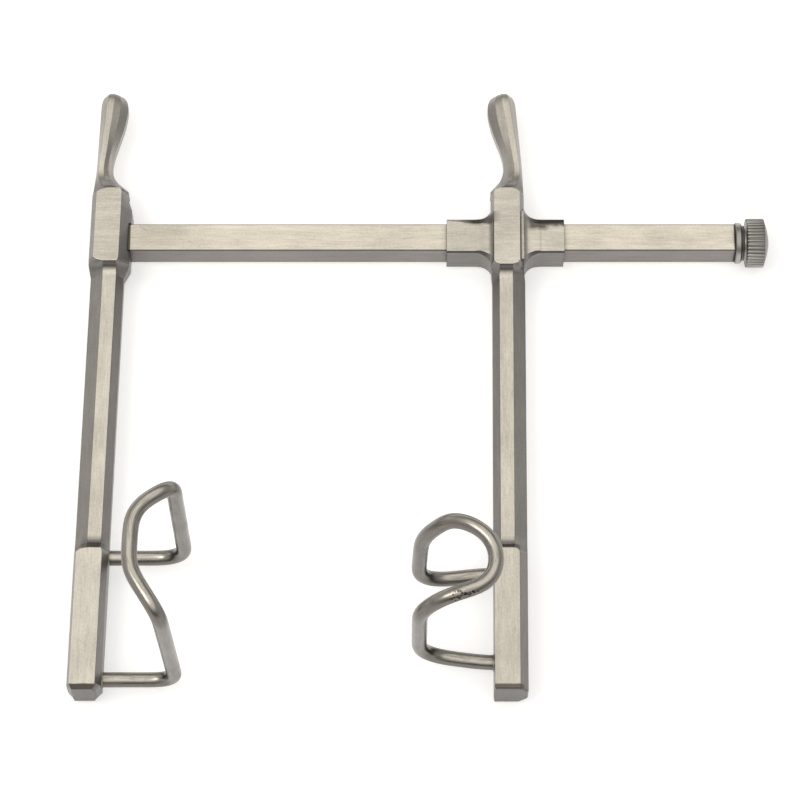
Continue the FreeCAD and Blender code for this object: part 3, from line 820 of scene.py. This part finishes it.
def wire_tree() -> bpy.types.NodeTree:
    """A round wire swept along straight runs whose corners are rounded by their own bends.

    Returns:
        The geometry node tree.
    """
    group, sketch, given, out = new_group(
        "round_wire", "GeometryNodeTree",
        {"Geometry": ("NodeSocketGeometry", None), "Radius": ("NodeSocketFloat", 1.6 * MM),
         "Bend Steps": ("NodeSocketInt", 12), "Sides": ("NodeSocketInt", 32),
         "Step": ("NodeSocketFloat", 0.5 * MM), "Easing": ("NodeSocketInt", 12),
         "Metal": ("NodeSocketMaterial", None)},
        {"Geometry": "NodeSocketGeometry"})
    route = sketch.add("GeometryNodeMeshToCurve", {"Mesh": given.outputs["Geometry"]})
    bend = sketch.add("GeometryNodeInputNamedAttribute", {"Name": "bend"}, data_type="FLOAT")
    bent = sketch.add("GeometryNodeFilletCurve", {
        "Curve": route.outputs[0], "Radius": bend.outputs[0],
        "Count": given.outputs["Bend Steps"]}, mode="POLY")
    even = sketch.add("GeometryNodeResampleCurve", {
        "Curve": bent.outputs[0], "Length": given.outputs["Step"]}, mode="LENGTH")
    place = sketch.add("GeometryNodeInputPosition").outputs[0]
    eased = sketch.add("GeometryNodeBlurAttribute", {
        "Value": place, "Iterations": given.outputs["Easing"], "Weight": 1.0}, data_type="FLOAT_VECTOR")
    hand_bent = sketch.add("GeometryNodeSetPosition", {
        "Geometry": even.outputs[0], "Position": eased.outputs[0]})
    length = sketch.add("GeometryNodeSplineParameter").outputs["Length"]
    marked = sketch.add("GeometryNodeStoreNamedAttribute", {
        "Geometry": hand_bent.outputs[0], "Name": "along", "Value": length},
        data_type="FLOAT", domain="POINT")
    section = sketch.add("GeometryNodeCurvePrimitiveCircle", {
        "Resolution": given.outputs["Sides"], "Radius": given.outputs["Radius"]})
    outwards = sketch.vector("NORMALIZE", sketch.add("GeometryNodeInputPosition").outputs[0])
    ring = sketch.add("GeometryNodeStoreNamedAttribute", {
        "Geometry": section.outputs[0], "Name": "rim", "Value": outwards},
        data_type="FLOAT_VECTOR", domain="POINT")
    swept = sketch.add("GeometryNodeCurveToMesh", {
        "Curve": marked.outputs[0], "Profile Curve": ring.outputs[0], "Fill Caps": True})
    finish_tree(sketch, swept.outputs[0], given.outputs["Metal"], out)
    return group


def finish_tree(sketch: Sketch, shape: Socket, metal: Socket, out: bpy.types.Node) -> None:
    """End a geometry node tree: smooth shading, real geometry and one material.

    Args:
        sketch: The tree's sketch.
        shape: The finished shape's socket.
        metal: The material's socket.
        out: The tree's output node.
    """
    smooth = sketch.add("GeometryNodeSetShadeSmooth", {"Geometry": shape})
    real = sketch.add("GeometryNodeRealizeInstances", {"Geometry": smooth.outputs[0]})
    dressed = sketch.add("GeometryNodeSetMaterial", {"Geometry": real.outputs[0], "Material": metal})
    sketch.tree.links.new(dressed.outputs[0], out.inputs[0])


def knurl_tree() -> bpy.types.NodeTree:
    """Ribs set round an axis along X.

    Returns:
        The geometry node tree.
    """
    group, sketch, given, out = new_group(
        "straight_knurl", "GeometryNodeTree",
        {"Geometry": ("NodeSocketGeometry", None), "Count": ("NodeSocketInt", 28),
         "Radius": ("NodeSocketFloat", 5.0 * MM), "Start": ("NodeSocketFloat", 0.0),
         "Axis Height": ("NodeSocketFloat", 0.0), "Metal": ("NodeSocketMaterial", None)},
        {"Geometry": "NodeSocketGeometry"})
    ring = sketch.add("GeometryNodePoints", {"Count": given.outputs["Count"]})
    order = sketch.add("GeometryNodeInputIndex").outputs[0]
    angle = sketch.maths("MULTIPLY", sketch.maths("DIVIDE", order, given.outputs["Count"]), math.tau)
    level = sketch.maths("MULTIPLY", sketch.maths("COSINE", angle), given.outputs["Radius"])
    across = sketch.maths("MULTIPLY", sketch.maths("SINE", angle), given.outputs["Radius"])
    level = sketch.maths("ADD", level, given.outputs["Axis Height"])
    spot = sketch.add("ShaderNodeCombineXYZ", {0: given.outputs["Start"], 1: across, 2: level})
    placed = sketch.add("GeometryNodeSetPosition", {
        "Geometry": ring.outputs[0], "Position": spot.outputs[0]})
    turn = sketch.add("ShaderNodeCombineXYZ", {0: sketch.maths("MULTIPLY", angle, -1.0)})
    ribs = sketch.add("GeometryNodeInstanceOnPoints", {
        "Points": placed.outputs[0], "Instance": given.outputs["Geometry"],
        "Rotation": turn.outputs[0]})
    finish_tree(sketch, ribs.outputs[0], given.outputs["Metal"], out)
    return group


def thread_tree() -> bpy.types.NodeTree:
    """A screw thread's ridge along X.

    Returns:
        The geometry node tree.
    """
    group, sketch, given, out = new_group(
        "screw_thread", "GeometryNodeTree",
        {"Geometry": ("NodeSocketGeometry", None), "Turns": ("NodeSocketFloat", 12.0),
         "Length": ("NodeSocketFloat", 8.0 * MM), "Radius": ("NodeSocketFloat", 1.8 * MM),
         "Ridge": ("NodeSocketFloat", 0.3 * MM), "Start": ("NodeSocketVector", (0.0, 0.0, 0.0)),
         "Metal": ("NodeSocketMaterial", None)},
        {"Geometry": "NodeSocketGeometry"})
    helix = sketch.add("GeometryNodeCurveSpiral", {
        "Resolution": 20, "Rotations": given.outputs["Turns"], "Start Radius": given.outputs["Radius"],
        "End Radius": given.outputs["Radius"], "Height": given.outputs["Length"], "Reverse": False})
    ridge = sketch.add("GeometryNodeCurvePrimitiveCircle", {
        "Resolution": 4, "Radius": given.outputs["Ridge"]})
    swept = sketch.add("GeometryNodeCurveToMesh", {
        "Curve": helix.outputs[0], "Profile Curve": ridge.outputs[0], "Fill Caps": True})
    laid = sketch.add("GeometryNodeTransform", {
        "Geometry": swept.outputs[0], "Translation": given.outputs["Start"], "Rotation": ONTO_X})
    finish_tree(sketch, laid.outputs[0], given.outputs["Metal"], out)
    return group


def seam_tree() -> bpy.types.NodeTree:
    """A ring of braze round a wire along X, uneven as it froze, at each of the starting points.

    Returns:
        The geometry node tree.
    """
    group, sketch, given, out = new_group(
        "brazed_seam", "GeometryNodeTree",
        {"Geometry": ("NodeSocketGeometry", None), "Radius": ("NodeSocketFloat", 1.6 * MM),
         "Bead": ("NodeSocketFloat", 0.3 * MM), "Seed": ("NodeSocketFloat", 4.0),
         "Metal": ("NodeSocketMaterial", None)},
        {"Geometry": "NodeSocketGeometry"})
    ring = sketch.add("GeometryNodeCurvePrimitiveCircle", {
        "Resolution": 48, "Radius": given.outputs["Radius"]})
    bead = sketch.add("GeometryNodeCurvePrimitiveCircle", {
        "Resolution": 12, "Radius": given.outputs["Bead"]})
    swept = sketch.add("GeometryNodeCurveToMesh", {
        "Curve": ring.outputs[0], "Profile Curve": bead.outputs[0]})
    upright = sketch.add("GeometryNodeTransform", {"Geometry": swept.outputs[0], "Rotation": ONTO_X})
    seams = sketch.add("GeometryNodeInstanceOnPoints", {
        "Points": given.outputs["Geometry"], "Instance": upright.outputs[0]})
    real = sketch.add("GeometryNodeRealizeInstances", {"Geometry": seams.outputs[0]})
    place = sketch.add("GeometryNodeInputPosition").outputs[0]
    wander = sketch.add("ShaderNodeTexNoise", {
        "Vector": place, "W": given.outputs["Seed"], "Scale": 900.0, "Detail": 1.0},
        noise_dimensions="4D").outputs["Fac"]
    swell = sketch.maths("MULTIPLY", sketch.maths("SUBTRACT", wander, 0.5), given.outputs["Bead"])
    normal = sketch.add("GeometryNodeInputNormal").outputs[0]
    shift = sketch.add("ShaderNodeVectorMath", {0: normal, "Scale": swell}, operation="SCALE")
    uneven = sketch.add("GeometryNodeSetPosition", {
        "Geometry": real.outputs[0], "Offset": shift.outputs[0]})
    finish_tree(sketch, uneven.outputs[0], given.outputs["Metal"], out)
    return group


@dataclass
class Arm:
    """A forged arm: its finish, and the brazed seams where its wire blade goes in.

    The shaft's middle line leaves the bar at the X of station, and moves away from the other arm by
    splay for each unit of length below the bar. The other arm lies at a higher X where inwards is 1,
    and at a lower X where it is -1.
    """

    node: str
    body: Body
    inwards: int
    station: float
    splay: float
    wire_low: float
    wire_high: float
    shaft_inner: float = 3.45 * MM
    seam_radius: float = 1.62 * MM
    seam_bead: float = 0.22 * MM

    def face(self, wire: float) -> float:
        """The X of the arm's inner side where a wire leaves it.

        Args:
            wire: How far below the bar the wire is.

        Returns:
            The X in metres.
        """
        return self.station - self.inwards * (self.splay * wire - self.shaft_inner)

    def dress(self, metal: bpy.types.Material) -> None:
        """Give the forging its finish.

        Args:
            metal: The finish.
        """
        dress_node(self.node, metal)

    def seams(self, axis_height: float, tree: bpy.types.NodeTree, braze: bpy.types.Material) -> None:
        """Make the brazed seams.

        Args:
            axis_height: The Z of the wires' legs.
            tree: The seams' geometry node tree.
            braze: The seams' finish.
        """
        spots = [(self.face(wire), -wire, axis_height) for wire in (self.wire_low, self.wire_high)]
        rings = new_object(f"{self.node}_seams", spots, [], [])
        grow(rings, tree, {"Radius": self.seam_radius, "Bead": self.seam_bead,
                           "Seed": self.station * 100, "Metal": braze})
        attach(rings, self.body.value)
        report(rings)


@dataclass
class WireBlade:
    """A bent wire blade: corners of its route with a bend at each."""

    node: str
    body: Body
    arm: Arm
    wire_radius: float = 1.595 * MM
    insert: float = 4.1 * MM
    easing: int = 12
    bend_steps: int = 14
    sides: int = 32
    step: float = 0.5 * MM

    def route(self) -> list[tuple[Point, float]]:
        """The route's corners above the legs' plane, each with its bend's radius.

        Returns:
            Pairs of a corner and a radius.
        """
        raise NotImplementedError

    def build(self, axis_height: float, tree: bpy.types.NodeTree, metal: bpy.types.Material) -> None:
        """Make the wire and put it in the place of its plain solid.

        Args:
            axis_height: The Z of the wire's legs.
            tree: The wire's geometry node tree.
            metal: The wire's finish.
        """
        route = self.route()
        points = [(x, y, z + axis_height) for (x, y, z), _ in route]
        wire = new_object(f"{self.node}_wire", points, [(i, i + 1) for i in range(len(points) - 1)], [])
        bends = wire.data.attributes.new("bend", "FLOAT", "POINT")
        for item, (_, radius) in zip(bends.data, route):
            item.value = radius
        grow(wire, tree, {"Radius": self.wire_radius, "Bend Steps": self.bend_steps,
                          "Sides": self.sides, "Step": self.step, "Easing": self.easing,
                          "Metal": metal})
        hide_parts(self.node)
        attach(wire, self.body.value)
        report(wire)


@dataclass
class FixedBlade(WireBlade):
    """The fixed arm's blade, whose lip flares back towards the arm."""

    low_reach: float = 15.3 * MM
    high_reach: float = 16.2 * MM
    low_bend: float = 4.0 * MM
    high_bend: float = 5.6 * MM
    depth: float = 44.0 * MM
    lip_bend: float = 3.3 * MM
    lean: float = 0.75 * MM
    drop: float = 0.6 * MM
    low_flare: float = 7.0 * MM
    high_flare: float = 6.6 * MM
    low_inset: float = 9.3 * MM
    high_inset: float = 5.2 * MM
    loop_low_bend: float = 9.0 * MM
    loop_high_bend: float = 7.0 * MM

    def route(self) -> list[tuple[Point, float]]:
        """The corners from the low leg round the lip to the high leg.

        Returns:
            Pairs of a corner and a radius.
        """
        low, high = -self.arm.wire_low, -self.arm.wire_high
        low_face, high_face = self.arm.face(-low), self.arm.face(-high)
        low_x, high_x = low_face + self.low_reach, high_face + self.high_reach
        return [
            ((low_face - self.insert, low, 0.0), 0.0),
            ((low_x, low, 0.0), self.low_bend),
            ((low_x - self.lean, low - self.drop, self.depth), self.lip_bend),
            ((low_x - self.low_flare, low + self.low_inset, self.depth), self.loop_low_bend),
            ((low_x - self.high_flare, high - self.high_inset, self.depth), self.loop_high_bend),
            ((high_x, high, self.depth), self.lip_bend),
            ((high_x, high, 0.0), self.high_bend),
            ((high_face - self.insert, high, 0.0), 0.0)]


@dataclass
class SlidingBlade(WireBlade):
    """The sliding arm's blade, whose lip is a rounder loop."""

    easing: int = 22
    low_reach: float = 15.55 * MM
    high_reach: float = 15.95 * MM
    leg_start: float = 2.0 * MM
    leg_bend: float = 8.0 * MM
    low_rise: float = 1.8 * MM
    high_drop: float = 1.6 * MM
    corner_bend: float = 6.0 * MM
    depth: float = 36.3 * MM
    lip_low_bend: float = 9.0 * MM
    shoulder_bend: float = 20.0 * MM
    crest_bend: float = 7.5 * MM
    lip_low_rise: float = 0.7 * MM
    crest_rise: float = 0.15 * MM
    crest_reach: float = 7.6 * MM
    shoulder_rise: float = 0.1 * MM
    shoulder_drop: float = 13.0 * MM
    lean: float = 0.8 * MM
    lip_reach: float = 15.4 * MM
    low_inset: float = 5.3 * MM
    high_inset: float = 4.9 * MM
    loop_low_bend: float = 5.5 * MM
    loop_high_bend: float = 7.0 * MM

    def route(self) -> list[tuple[Point, float]]:
        """The corners from the low leg round the lip to the high leg.

        Returns:
            Pairs of a corner and a radius.
        """
        low, high = -self.arm.wire_low, -self.arm.wire_high
        low_face, high_face = self.arm.face(-low), self.arm.face(-high)
        low_side, high_side = low_face - self.low_reach, high_face - self.high_reach
        far = low_side + self.lip_reach
        return [
            ((low_face + self.insert, low, 0.0), 0.0),
            ((low_face - self.leg_start, low, 0.0), self.leg_bend),
            ((low_side, low + self.low_rise, 0.0), self.corner_bend),
            ((low_side, low + self.lip_low_rise, self.depth), self.lip_low_bend),
            ((far, low + self.low_inset, self.depth), self.loop_low_bend),
            ((far, high - self.high_inset, self.depth), self.loop_high_bend),
            ((high_side + self.crest_reach, high + self.crest_rise, self.depth), self.crest_bend),
            ((high_side + self.lean, high + self.shoulder_rise, self.depth - self.shoulder_drop),
             self.shoulder_bend),
            ((high_side, high - self.high_drop, 0.0), self.corner_bend),
            ((high_face - self.leg_start, high, 0.0), self.leg_bend),
            ((high_face + self.insert, high, 0.0), 0.0)]


@dataclass
class StopScrew:
    """The screw at the bar's end: a turned core, a straight knurl and a thread."""

    start: float
    axis_height: float
    shank_length: float = 10.0 * MM
    shank_radius: float = 2.0 * MM
    pitch: float = 0.7 * MM
    thread_depth: float = 0.42 * MM
    run_out: float = 0.4
    ridge_lead: float = 0.6
    ridge_size: float = 0.85
    ridge_sink: float = 0.95
    neck_start: float = 1.35 * MM
    neck_radius: float = 4.0 * MM
    neck_gap: float = 0.02 * MM
    waist_length: float = 0.45 * MM
    waist_depth: float = 0.22 * MM
    nick: float = 0.1 * MM
    chamfer: float = 0.25 * MM
    head_start: float = 2.45 * MM
    head_end: float = 6.25 * MM
    head_radius: float = 5.34 * MM
    rim_drop: float = 0.06 * MM
    dome: float = 1.18 * MM
    dome_steps: int = 8
    dome_power: float = 1.7
    ribs: int = 40
    rib_height: float = 0.24 * MM
    rib_fill: float = 0.98
    rib_crest: float = 0.3
    rib_sunk: float = 0.12 * MM
    slope_length: float = 0.12 * MM
    slope_foot: float = 0.6
    segments: int = 96

    def core(self, metal: bpy.types.Material) -> bpy.types.Object:
        """Turn the screw's core.

        Args:
            metal: The core's finish.

        Returns:
            The core.
        """
        root = self.shank_radius - self.thread_depth
        valley = self.head_radius - self.rib_height
        rim = self.head_radius - self.rim_drop
        profile = [
            (-self.shank_length, 0.0), (-self.shank_length, root - self.chamfer),
            (-self.shank_length + self.chamfer, root), (-self.pitch, root),
            (-self.pitch * self.run_out, self.shank_radius),
            (self.neck_start - self.neck_gap, self.shank_radius),
            (self.neck_start, self.neck_radius - self.nick),
            (self.neck_start + self.nick, self.neck_radius),
            (self.head_start - self.waist_length, self.neck_radius - self.waist_depth),
            (self.head_start - self.nick, self.neck_radius - self.nick),
            (self.head_start, self.neck_radius), (self.head_start, valley - self.chamfer),
            (self.head_start + self.chamfer, valley), (self.head_end - self.chamfer, valley),
            (self.head_end, rim)]
        for step in range(1, self.dome_steps + 1):
            share = step / self.dome_steps
            profile.append((self.head_end + self.dome * (1 - (1 - share) ** self.dome_power),
                            rim * (1 - share)))
        points = []
        for along, reach in profile:
            for side in range(self.segments):
                angle = math.tau * side / self.segments
                points.append((self.start + along, reach * math.sin(angle),
                               self.axis_height + reach * math.cos(angle)))
        faces = []
        for ring in range(len(profile) - 1):
            for side in range(self.segments):
                first = ring * self.segments + side
                second = ring * self.segments + (side + 1) % self.segments
                faces.append((first, first + self.segments, second + self.segments, second))
        core = new_object("stop_screw_core", points, [], faces)
        tidy_mesh(core, metal)
        return core

    def rib(self) -> bpy.types.Object:
        """One rib of the knurl, as a crested bar with sloping ends.

        Returns:
            The rib, lying along X at the origin.
        """
        half = math.pi * self.head_radius / self.ribs * self.rib_fill
        crest = half * self.rib_crest
        length = self.head_end - self.head_start
        foot = self.rib_height * self.slope_foot
        points, faces = [], []
        for along, rise in ((0.0, foot), (self.slope_length, self.rib_height),
                            (length - self.slope_length, self.rib_height), (length, foot)):
            points += [(along, -half, -self.rib_sunk), (along, -crest, rise), (along, crest, rise),
                       (along, half, -self.rib_sunk)]
        for ring in range(3):
            for side in range(4):
                first, second = ring * 4 + side, ring * 4 + (side + 1) % 4
                faces.append((first, second, second + 4, first + 4))
        faces += [(3, 2, 1, 0), (12, 13, 14, 15)]
        return new_object("stop_screw_knurl", points, [], faces)

    def build(self, knurl: bpy.types.NodeTree, thread: bpy.types.NodeTree,
              metal: bpy.types.Material) -> None:
        """Make the screw and put it in the place of its plain solid.

        Args:
            knurl: The knurl's geometry node tree.
            thread: The thread's geometry node tree.
            metal: The screw's finish.
        """
        core = self.core(metal)
        ribs = grow(self.rib(), knurl, {
            "Count": self.ribs, "Radius": self.head_radius - self.rib_height,
            "Start": self.start + self.head_start, "Axis Height": self.axis_height, "Metal": metal})
        turns = (self.shank_length - 2 * self.pitch) / self.pitch
        ridge = new_object("stop_screw_thread", [(0.0, 0.0, 0.0)], [], [])
        grow(ridge, thread, {
            "Turns": turns, "Length": turns * self.pitch, "Metal": metal,
            "Ridge": self.thread_depth * self.ridge_size,
            "Radius": self.shank_radius - self.thread_depth * self.ridge_sink,
            "Start": (self.start - self.shank_length + self.pitch * self.ridge_lead, 0.0,
                      self.axis_height)})
        for piece in (core, ribs, ridge):
            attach(piece, Body.SCREW.value)
            report(piece)
        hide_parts("stop_screw")


def tidy_mesh(thing: bpy.types.Object, metal: bpy.types.Material) -> None:
    """Weld a turned mesh, face it outwards, shade it and give it its finish.

    Args:
        thing: The object.
        metal: The finish.
    """
    work = bmesh.new()
    work.from_mesh(thing.data)
    bmesh.ops.remove_doubles(work, verts=work.verts, dist=WELD_DISTANCE)
    bmesh.ops.recalc_face_normals(work, faces=work.faces)
    work.to_mesh(thing.data)
    work.free()
    for face in thing.data.polygons:
        face.use_smooth = True
    thing.data.set_sharp_from_angle(angle=SHARP_ANGLE)
    thing.data.materials.append(metal)


def dress_node(node: str, metal: bpy.types.Material) -> None:
    """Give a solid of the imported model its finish.

    Args:
        node: The solid's name.
        metal: The finish.
    """
    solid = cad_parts[node]
    for slot in solid.material_slots:
        slot.material = metal
    report(solid)


def report(piece: bpy.types.Object) -> None:
    """Log a piece's name, its size in millimetres and its number of faces."""
    size = ", ".join(f"{side / MM:.1f}" for side in piece.dimensions)
    log.info("%s: %s mm, %d faces", piece.name, size, len(piece.data.polygons))


# ---- table, light and camera ----


@dataclass
class Studio:
    """A plain pale table, soft light from above, a white horizon and the camera.

    Which light a direction has goes by its Z and its X. The ceiling comes in from ceiling_from to
    ceiling_to, and to the left and right higher up, by left_rise and right_rise. Below backdrop_top
    everything is as white as the table looks.
    """

    middle: Point = (0.066, -0.034, 0.0)
    table_side: float = 6.0
    table_gap: float = 0.03 * MM
    table_white: float = 0.86
    table_glow: float = 0.5
    ceiling: Colour = (1.07, 1.045, 0.985)
    ceiling_from: float = 0.52
    ceiling_to: float = 0.82
    left_wall: Colour = (0.52, 0.51, 0.50)
    right_wall: Colour = (0.40, 0.395, 0.39)
    dark_walls: Colour = (0.20, 0.195, 0.195)
    sideways_from: float = 0.25
    sideways_to: float = 0.75
    left_to_right: tuple[float, float] = (-0.1, 0.1)
    left_rise: float = 0.15
    right_rise: float = 0.24
    backdrop: Colour = (1.0, 1.0, 1.0)
    backdrop_top: float = 0.12
    backdrop_fade: float = 0.08
    lamp_place: Point = (-0.6, -0.25, 1.3)
    lamp_side: float = 0.6
    lamp_power: float = 3.0
    lamp_colour: Colour = (1.0, 0.97, 0.92)
    camera_place: Point = (0.0634, -0.31308, 0.68175)
    camera_tilt: float = math.radians(22.2)
    lens: float = 153.0
    sensor: float = 36.0

    def table(self) -> None:
        """Lay the table just under the instrument."""
        half = self.table_side / 2
        low = CAD_BOX[0][2] - self.table_gap
        corners = [(-half, -half, low), (half, -half, low), (half, half, low), (-half, half, low)]
        table = new_object("table", corners, [], [(0, 1, 2, 3)])
        material, sketch = new_material("pale_table")
        rays = sketch.add("ShaderNodeLightPath").outputs
        seen = sketch.maths("MAXIMUM", rays["Is Camera Ray"], rays["Is Glossy Ray"])
        seen = sketch.maths("MAXIMUM", seen, rays["Is Transmission Ray"])
        white = (self.table_white, self.table_white, self.table_white, 1.0)
        matt = sketch.add("ShaderNodeBsdfDiffuse", {"Color": white})
        glow = sketch.add("ShaderNodeEmission", {
            "Strength": sketch.maths("MULTIPLY", seen, self.table_glow)})
        both = sketch.add("ShaderNodeAddShader", {0: matt.outputs[0], 1: glow.outputs[0]})
        sketch.add("ShaderNodeOutputMaterial", {"Surface": both.outputs[0]})
        table.data.materials.append(material)

    def sky(self) -> None:
        """Light everything softly, more from above than from the sides."""
        world = bpy.data.worlds.new("soft_studio")
        bpy.context.scene.world = world
        world.use_nodes = True
        sketch = Sketch(world.node_tree)
        direction = sketch.add("ShaderNodeTexCoord").outputs["Generated"]
        parts = sketch.add("ShaderNodeSeparateXYZ", {0: direction}).outputs
        sideways = sketch.ramp(sketch.maths("ABSOLUTE", parts["X"]), self.sideways_from,
                               self.sideways_to)
        walls = sketch.blend(sketch.ramp(parts["X"], *self.left_to_right), self.left_wall,
                             self.right_wall)
        low = sketch.blend(sideways, self.dark_walls, walls)
        taller = sketch.ramp(parts["X"], *self.left_to_right, self.left_rise, self.right_rise)
        lowered = sketch.maths("SUBTRACT", parts["Z"], sketch.maths("MULTIPLY", sideways, taller))
        overhead = sketch.ramp(lowered, self.ceiling_from, self.ceiling_to)
        colour = sketch.blend(overhead, low, self.ceiling)
        skyline = sketch.ramp(parts["Z"], self.backdrop_top + self.backdrop_fade, self.backdrop_top)
        colour = sketch.blend(skyline, colour, self.backdrop)
        background = sketch.add("ShaderNodeBackground", {"Color": colour, "Strength": 1.0})
        sketch.add("ShaderNodeOutputWorld", {"Surface": background.outputs[0]})

    def lamp(self) -> None:
        """Hang one square soft lamp that faces the instrument."""
        light = bpy.data.lights.new("fill_lamp", "AREA")
        light.shape = "SQUARE"
        light.size = self.lamp_side
        light.energy = self.lamp_power
        light.color = self.lamp_colour
        lamp = bpy.data.objects.new("fill_lamp", light)
        lamp.location = self.lamp_place
        towards = Vector(self.middle) - Vector(self.lamp_place)
        lamp.rotation_euler = towards.to_track_quat("-Z", "Y").to_euler()
        bpy.context.scene.collection.objects.link(lamp)

    def camera(self) -> None:
        """Set up the camera at the photograph's angle."""
        eye = bpy.data.objects.new("camera", bpy.data.cameras.new("camera"))
        eye.data.lens = self.lens
        eye.data.sensor_width = self.sensor
        eye.location = self.camera_place
        eye.rotation_euler = (self.camera_tilt, 0.0, 0.0)
        bpy.context.scene.collection.objects.link(eye)
        bpy.context.scene.camera = eye

    def build(self) -> None:
        """Set up everything round the instrument."""
        self.table()
        self.sky()
        self.lamp()
        self.camera()
        bpy.context.scene.view_settings.view_transform = "Standard"


# ---- stains of this instrument ----

# Painted shadow in the joint gaps at the bar's two ends, and painted shade beside the fixed arm's boss
BAR_PAINTED_SHADE = (
    shade_or_mark_mm((3.0, -5.0), (4.55, 5.0), (0.12, 0.12), 0.95, wander=0.0),
    shade_or_mark_mm((4.0, -5.0), (10.0, 5.0), (16.0, 1.0), 0.13, wander=3.0),
    shade_or_mark_mm((136.3, -5.0), (137.0, 5.0), (0.1, 0.1), 0.9, wander=0.0))
# Painted shade and a painted dark reflection in patches on the sleeve, then painted shade in the
# run-outs above the foot pads and on the feet's ends
ARM_PAINTED_SHADE = (
    shade_or_mark_mm((93.4, 2.75), (99.4, 4.8), (1.6, 0.8), 0.92, above=7.6),
    shade_or_mark_mm((92.0, 2.1), (95.0, 4.8), (1.4, 1.0), 0.85, above=7.6),
    shade_or_mark_mm((79.4, 3.1), (82.8, 4.8), (2.6, 0.7), 0.85, above=7.6),
    shade_or_mark_mm((-3.4, -72.2), (0.9, -71.0), (0.8, 0.3), 0.85, above=6.5, rise=1.5, wander=0.4),
    shade_or_mark_mm((-3.4, -70.9), (0.9, -70.2), (0.8, 1.3), 0.4, above=6.5, rise=1.5),
    shade_or_mark_mm((84.9, -72.2), (88.3, -71.4), (0.6, 0.3), 0.85, above=6.5, rise=1.5, wander=0.4),
    shade_or_mark_mm((-6.0, -104.0), (1.5, -102.3), (0.3, 0.3), 0.85, above=8.4, rise=1.2, wander=0.3),
    shade_or_mark_mm((82.0, -104.0), (91.5, -102.3), (0.3, 0.3), 0.85, above=8.4, rise=1.2, wander=0.3),
    shade_or_mark_mm((-6.0, -104.0), (91.5, -103.1), (0.3, 0.3), 0.4, wander=0.0))
# Dark specks on the sliding blade's lip
WIRE_STAINS = (shade_or_mark_mm((74.0, -96.4), (79.0, -93.4), (1.0, 0.6), 1.0, above=40.0),)


def main() -> None:
    """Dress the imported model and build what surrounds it."""
    logging.basicConfig(level=logging.INFO, format="%(name)s: %(message)s")
    effects = Effects(brush_lines_group(), scratches_group(), edge_light_and_hollow_shade_group(), mottle_group())
    bar_low, bar_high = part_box("cross_bar")
    axis_height = (bar_low[2] + bar_high[2]) / 2
    screw_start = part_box("stop_washer")[0][0]

    # The bar's edge tone is a painted dark line along its edges, and the arms' is a painted highlight
    bar_steel = GroundSteel(
        "bar_steel_satin", ground=(0.86, 0.80, 0.69), side=(0.27, 0.245, 0.235),
        brushing=Brushing.ALONG_X, shade_and_marks=BAR_PAINTED_SHADE, edge_tone=(0.13, 0.115, 0.1), edge_share=0.6,
        fineness=240.0).build(effects)
    arm_steel = GroundSteel(
        "arm_steel_satin", ground=(0.73, 0.69, 0.61), side=(0.235, 0.22, 0.21),
        brushing=Brushing.ALONG_Y, shade_and_marks=ARM_PAINTED_SHADE, edge_tone=(0.8, 0.765, 0.7), edge_share=0.4,
        cross_from=-8.0 * MM, cross_to=11.5 * MM, edge_reach=0.5 * MM).build(effects)
    wire_steel = DrawnWire(
        "wire_steel_drawn", bright=(0.56, 0.53, 0.475), side=(0.19, 0.175, 0.16),
        streak_and_shade=(0.11, 0.1, 0.085), shade_and_marks=WIRE_STAINS).build(effects)
    ring_steel = TurnedSteel(
        "ring_steel_turned", bright=(0.42, 0.405, 0.375), groove=(0.2, 0.19, 0.175),
        end=(0.2, 0.19, 0.175), groove_start=2.0 * MM, groove_end=3.4 * MM).build(effects)
    # On the screw, the darker band between the radii is painted shade in the knurl's valleys
    screw_steel = TurnedSteel(
        "screw_steel_turned", bright=(0.43, 0.42, 0.395), groove=(0.14, 0.133, 0.125),
        end=(0.17, 0.162, 0.153), groove_start=4.75 * MM, groove_end=5.1 * MM).build(effects)
    braze = BrazeMetal("silver_braze", colour=(0.5, 0.46, 0.38), dark=(0.22, 0.19, 0.15)).build(effects)

    fixed = Arm("fixed_arm", Body.FRAME, inwards=1, station=0.0, splay=0.0195,
                wire_low=99.9 * MM, wire_high=73.1 * MM)
    sliding = Arm("sliding_arm", Body.SLIDER, inwards=-1, station=87.0 * MM, splay=-0.0065,
                  wire_low=96.15 * MM, wire_high=76.9 * MM)
    seams, wire = seam_tree(), wire_tree()
    for arm in (fixed, sliding):
        arm.dress(arm_steel)
        arm.seams(axis_height, seams, braze)
    FixedBlade("fixed_blade", Body.FRAME, fixed).build(axis_height, wire, wire_steel)
    SlidingBlade("sliding_blade", Body.SLIDER, sliding).build(axis_height, wire, wire_steel)
    dress_node("cross_bar", bar_steel)
    dress_node("stop_washer", ring_steel)
    StopScrew(screw_start, axis_height).build(knurl_tree(), thread_tree(), screw_steel)
    Studio().build()


if __name__ == "__main__":
    main()
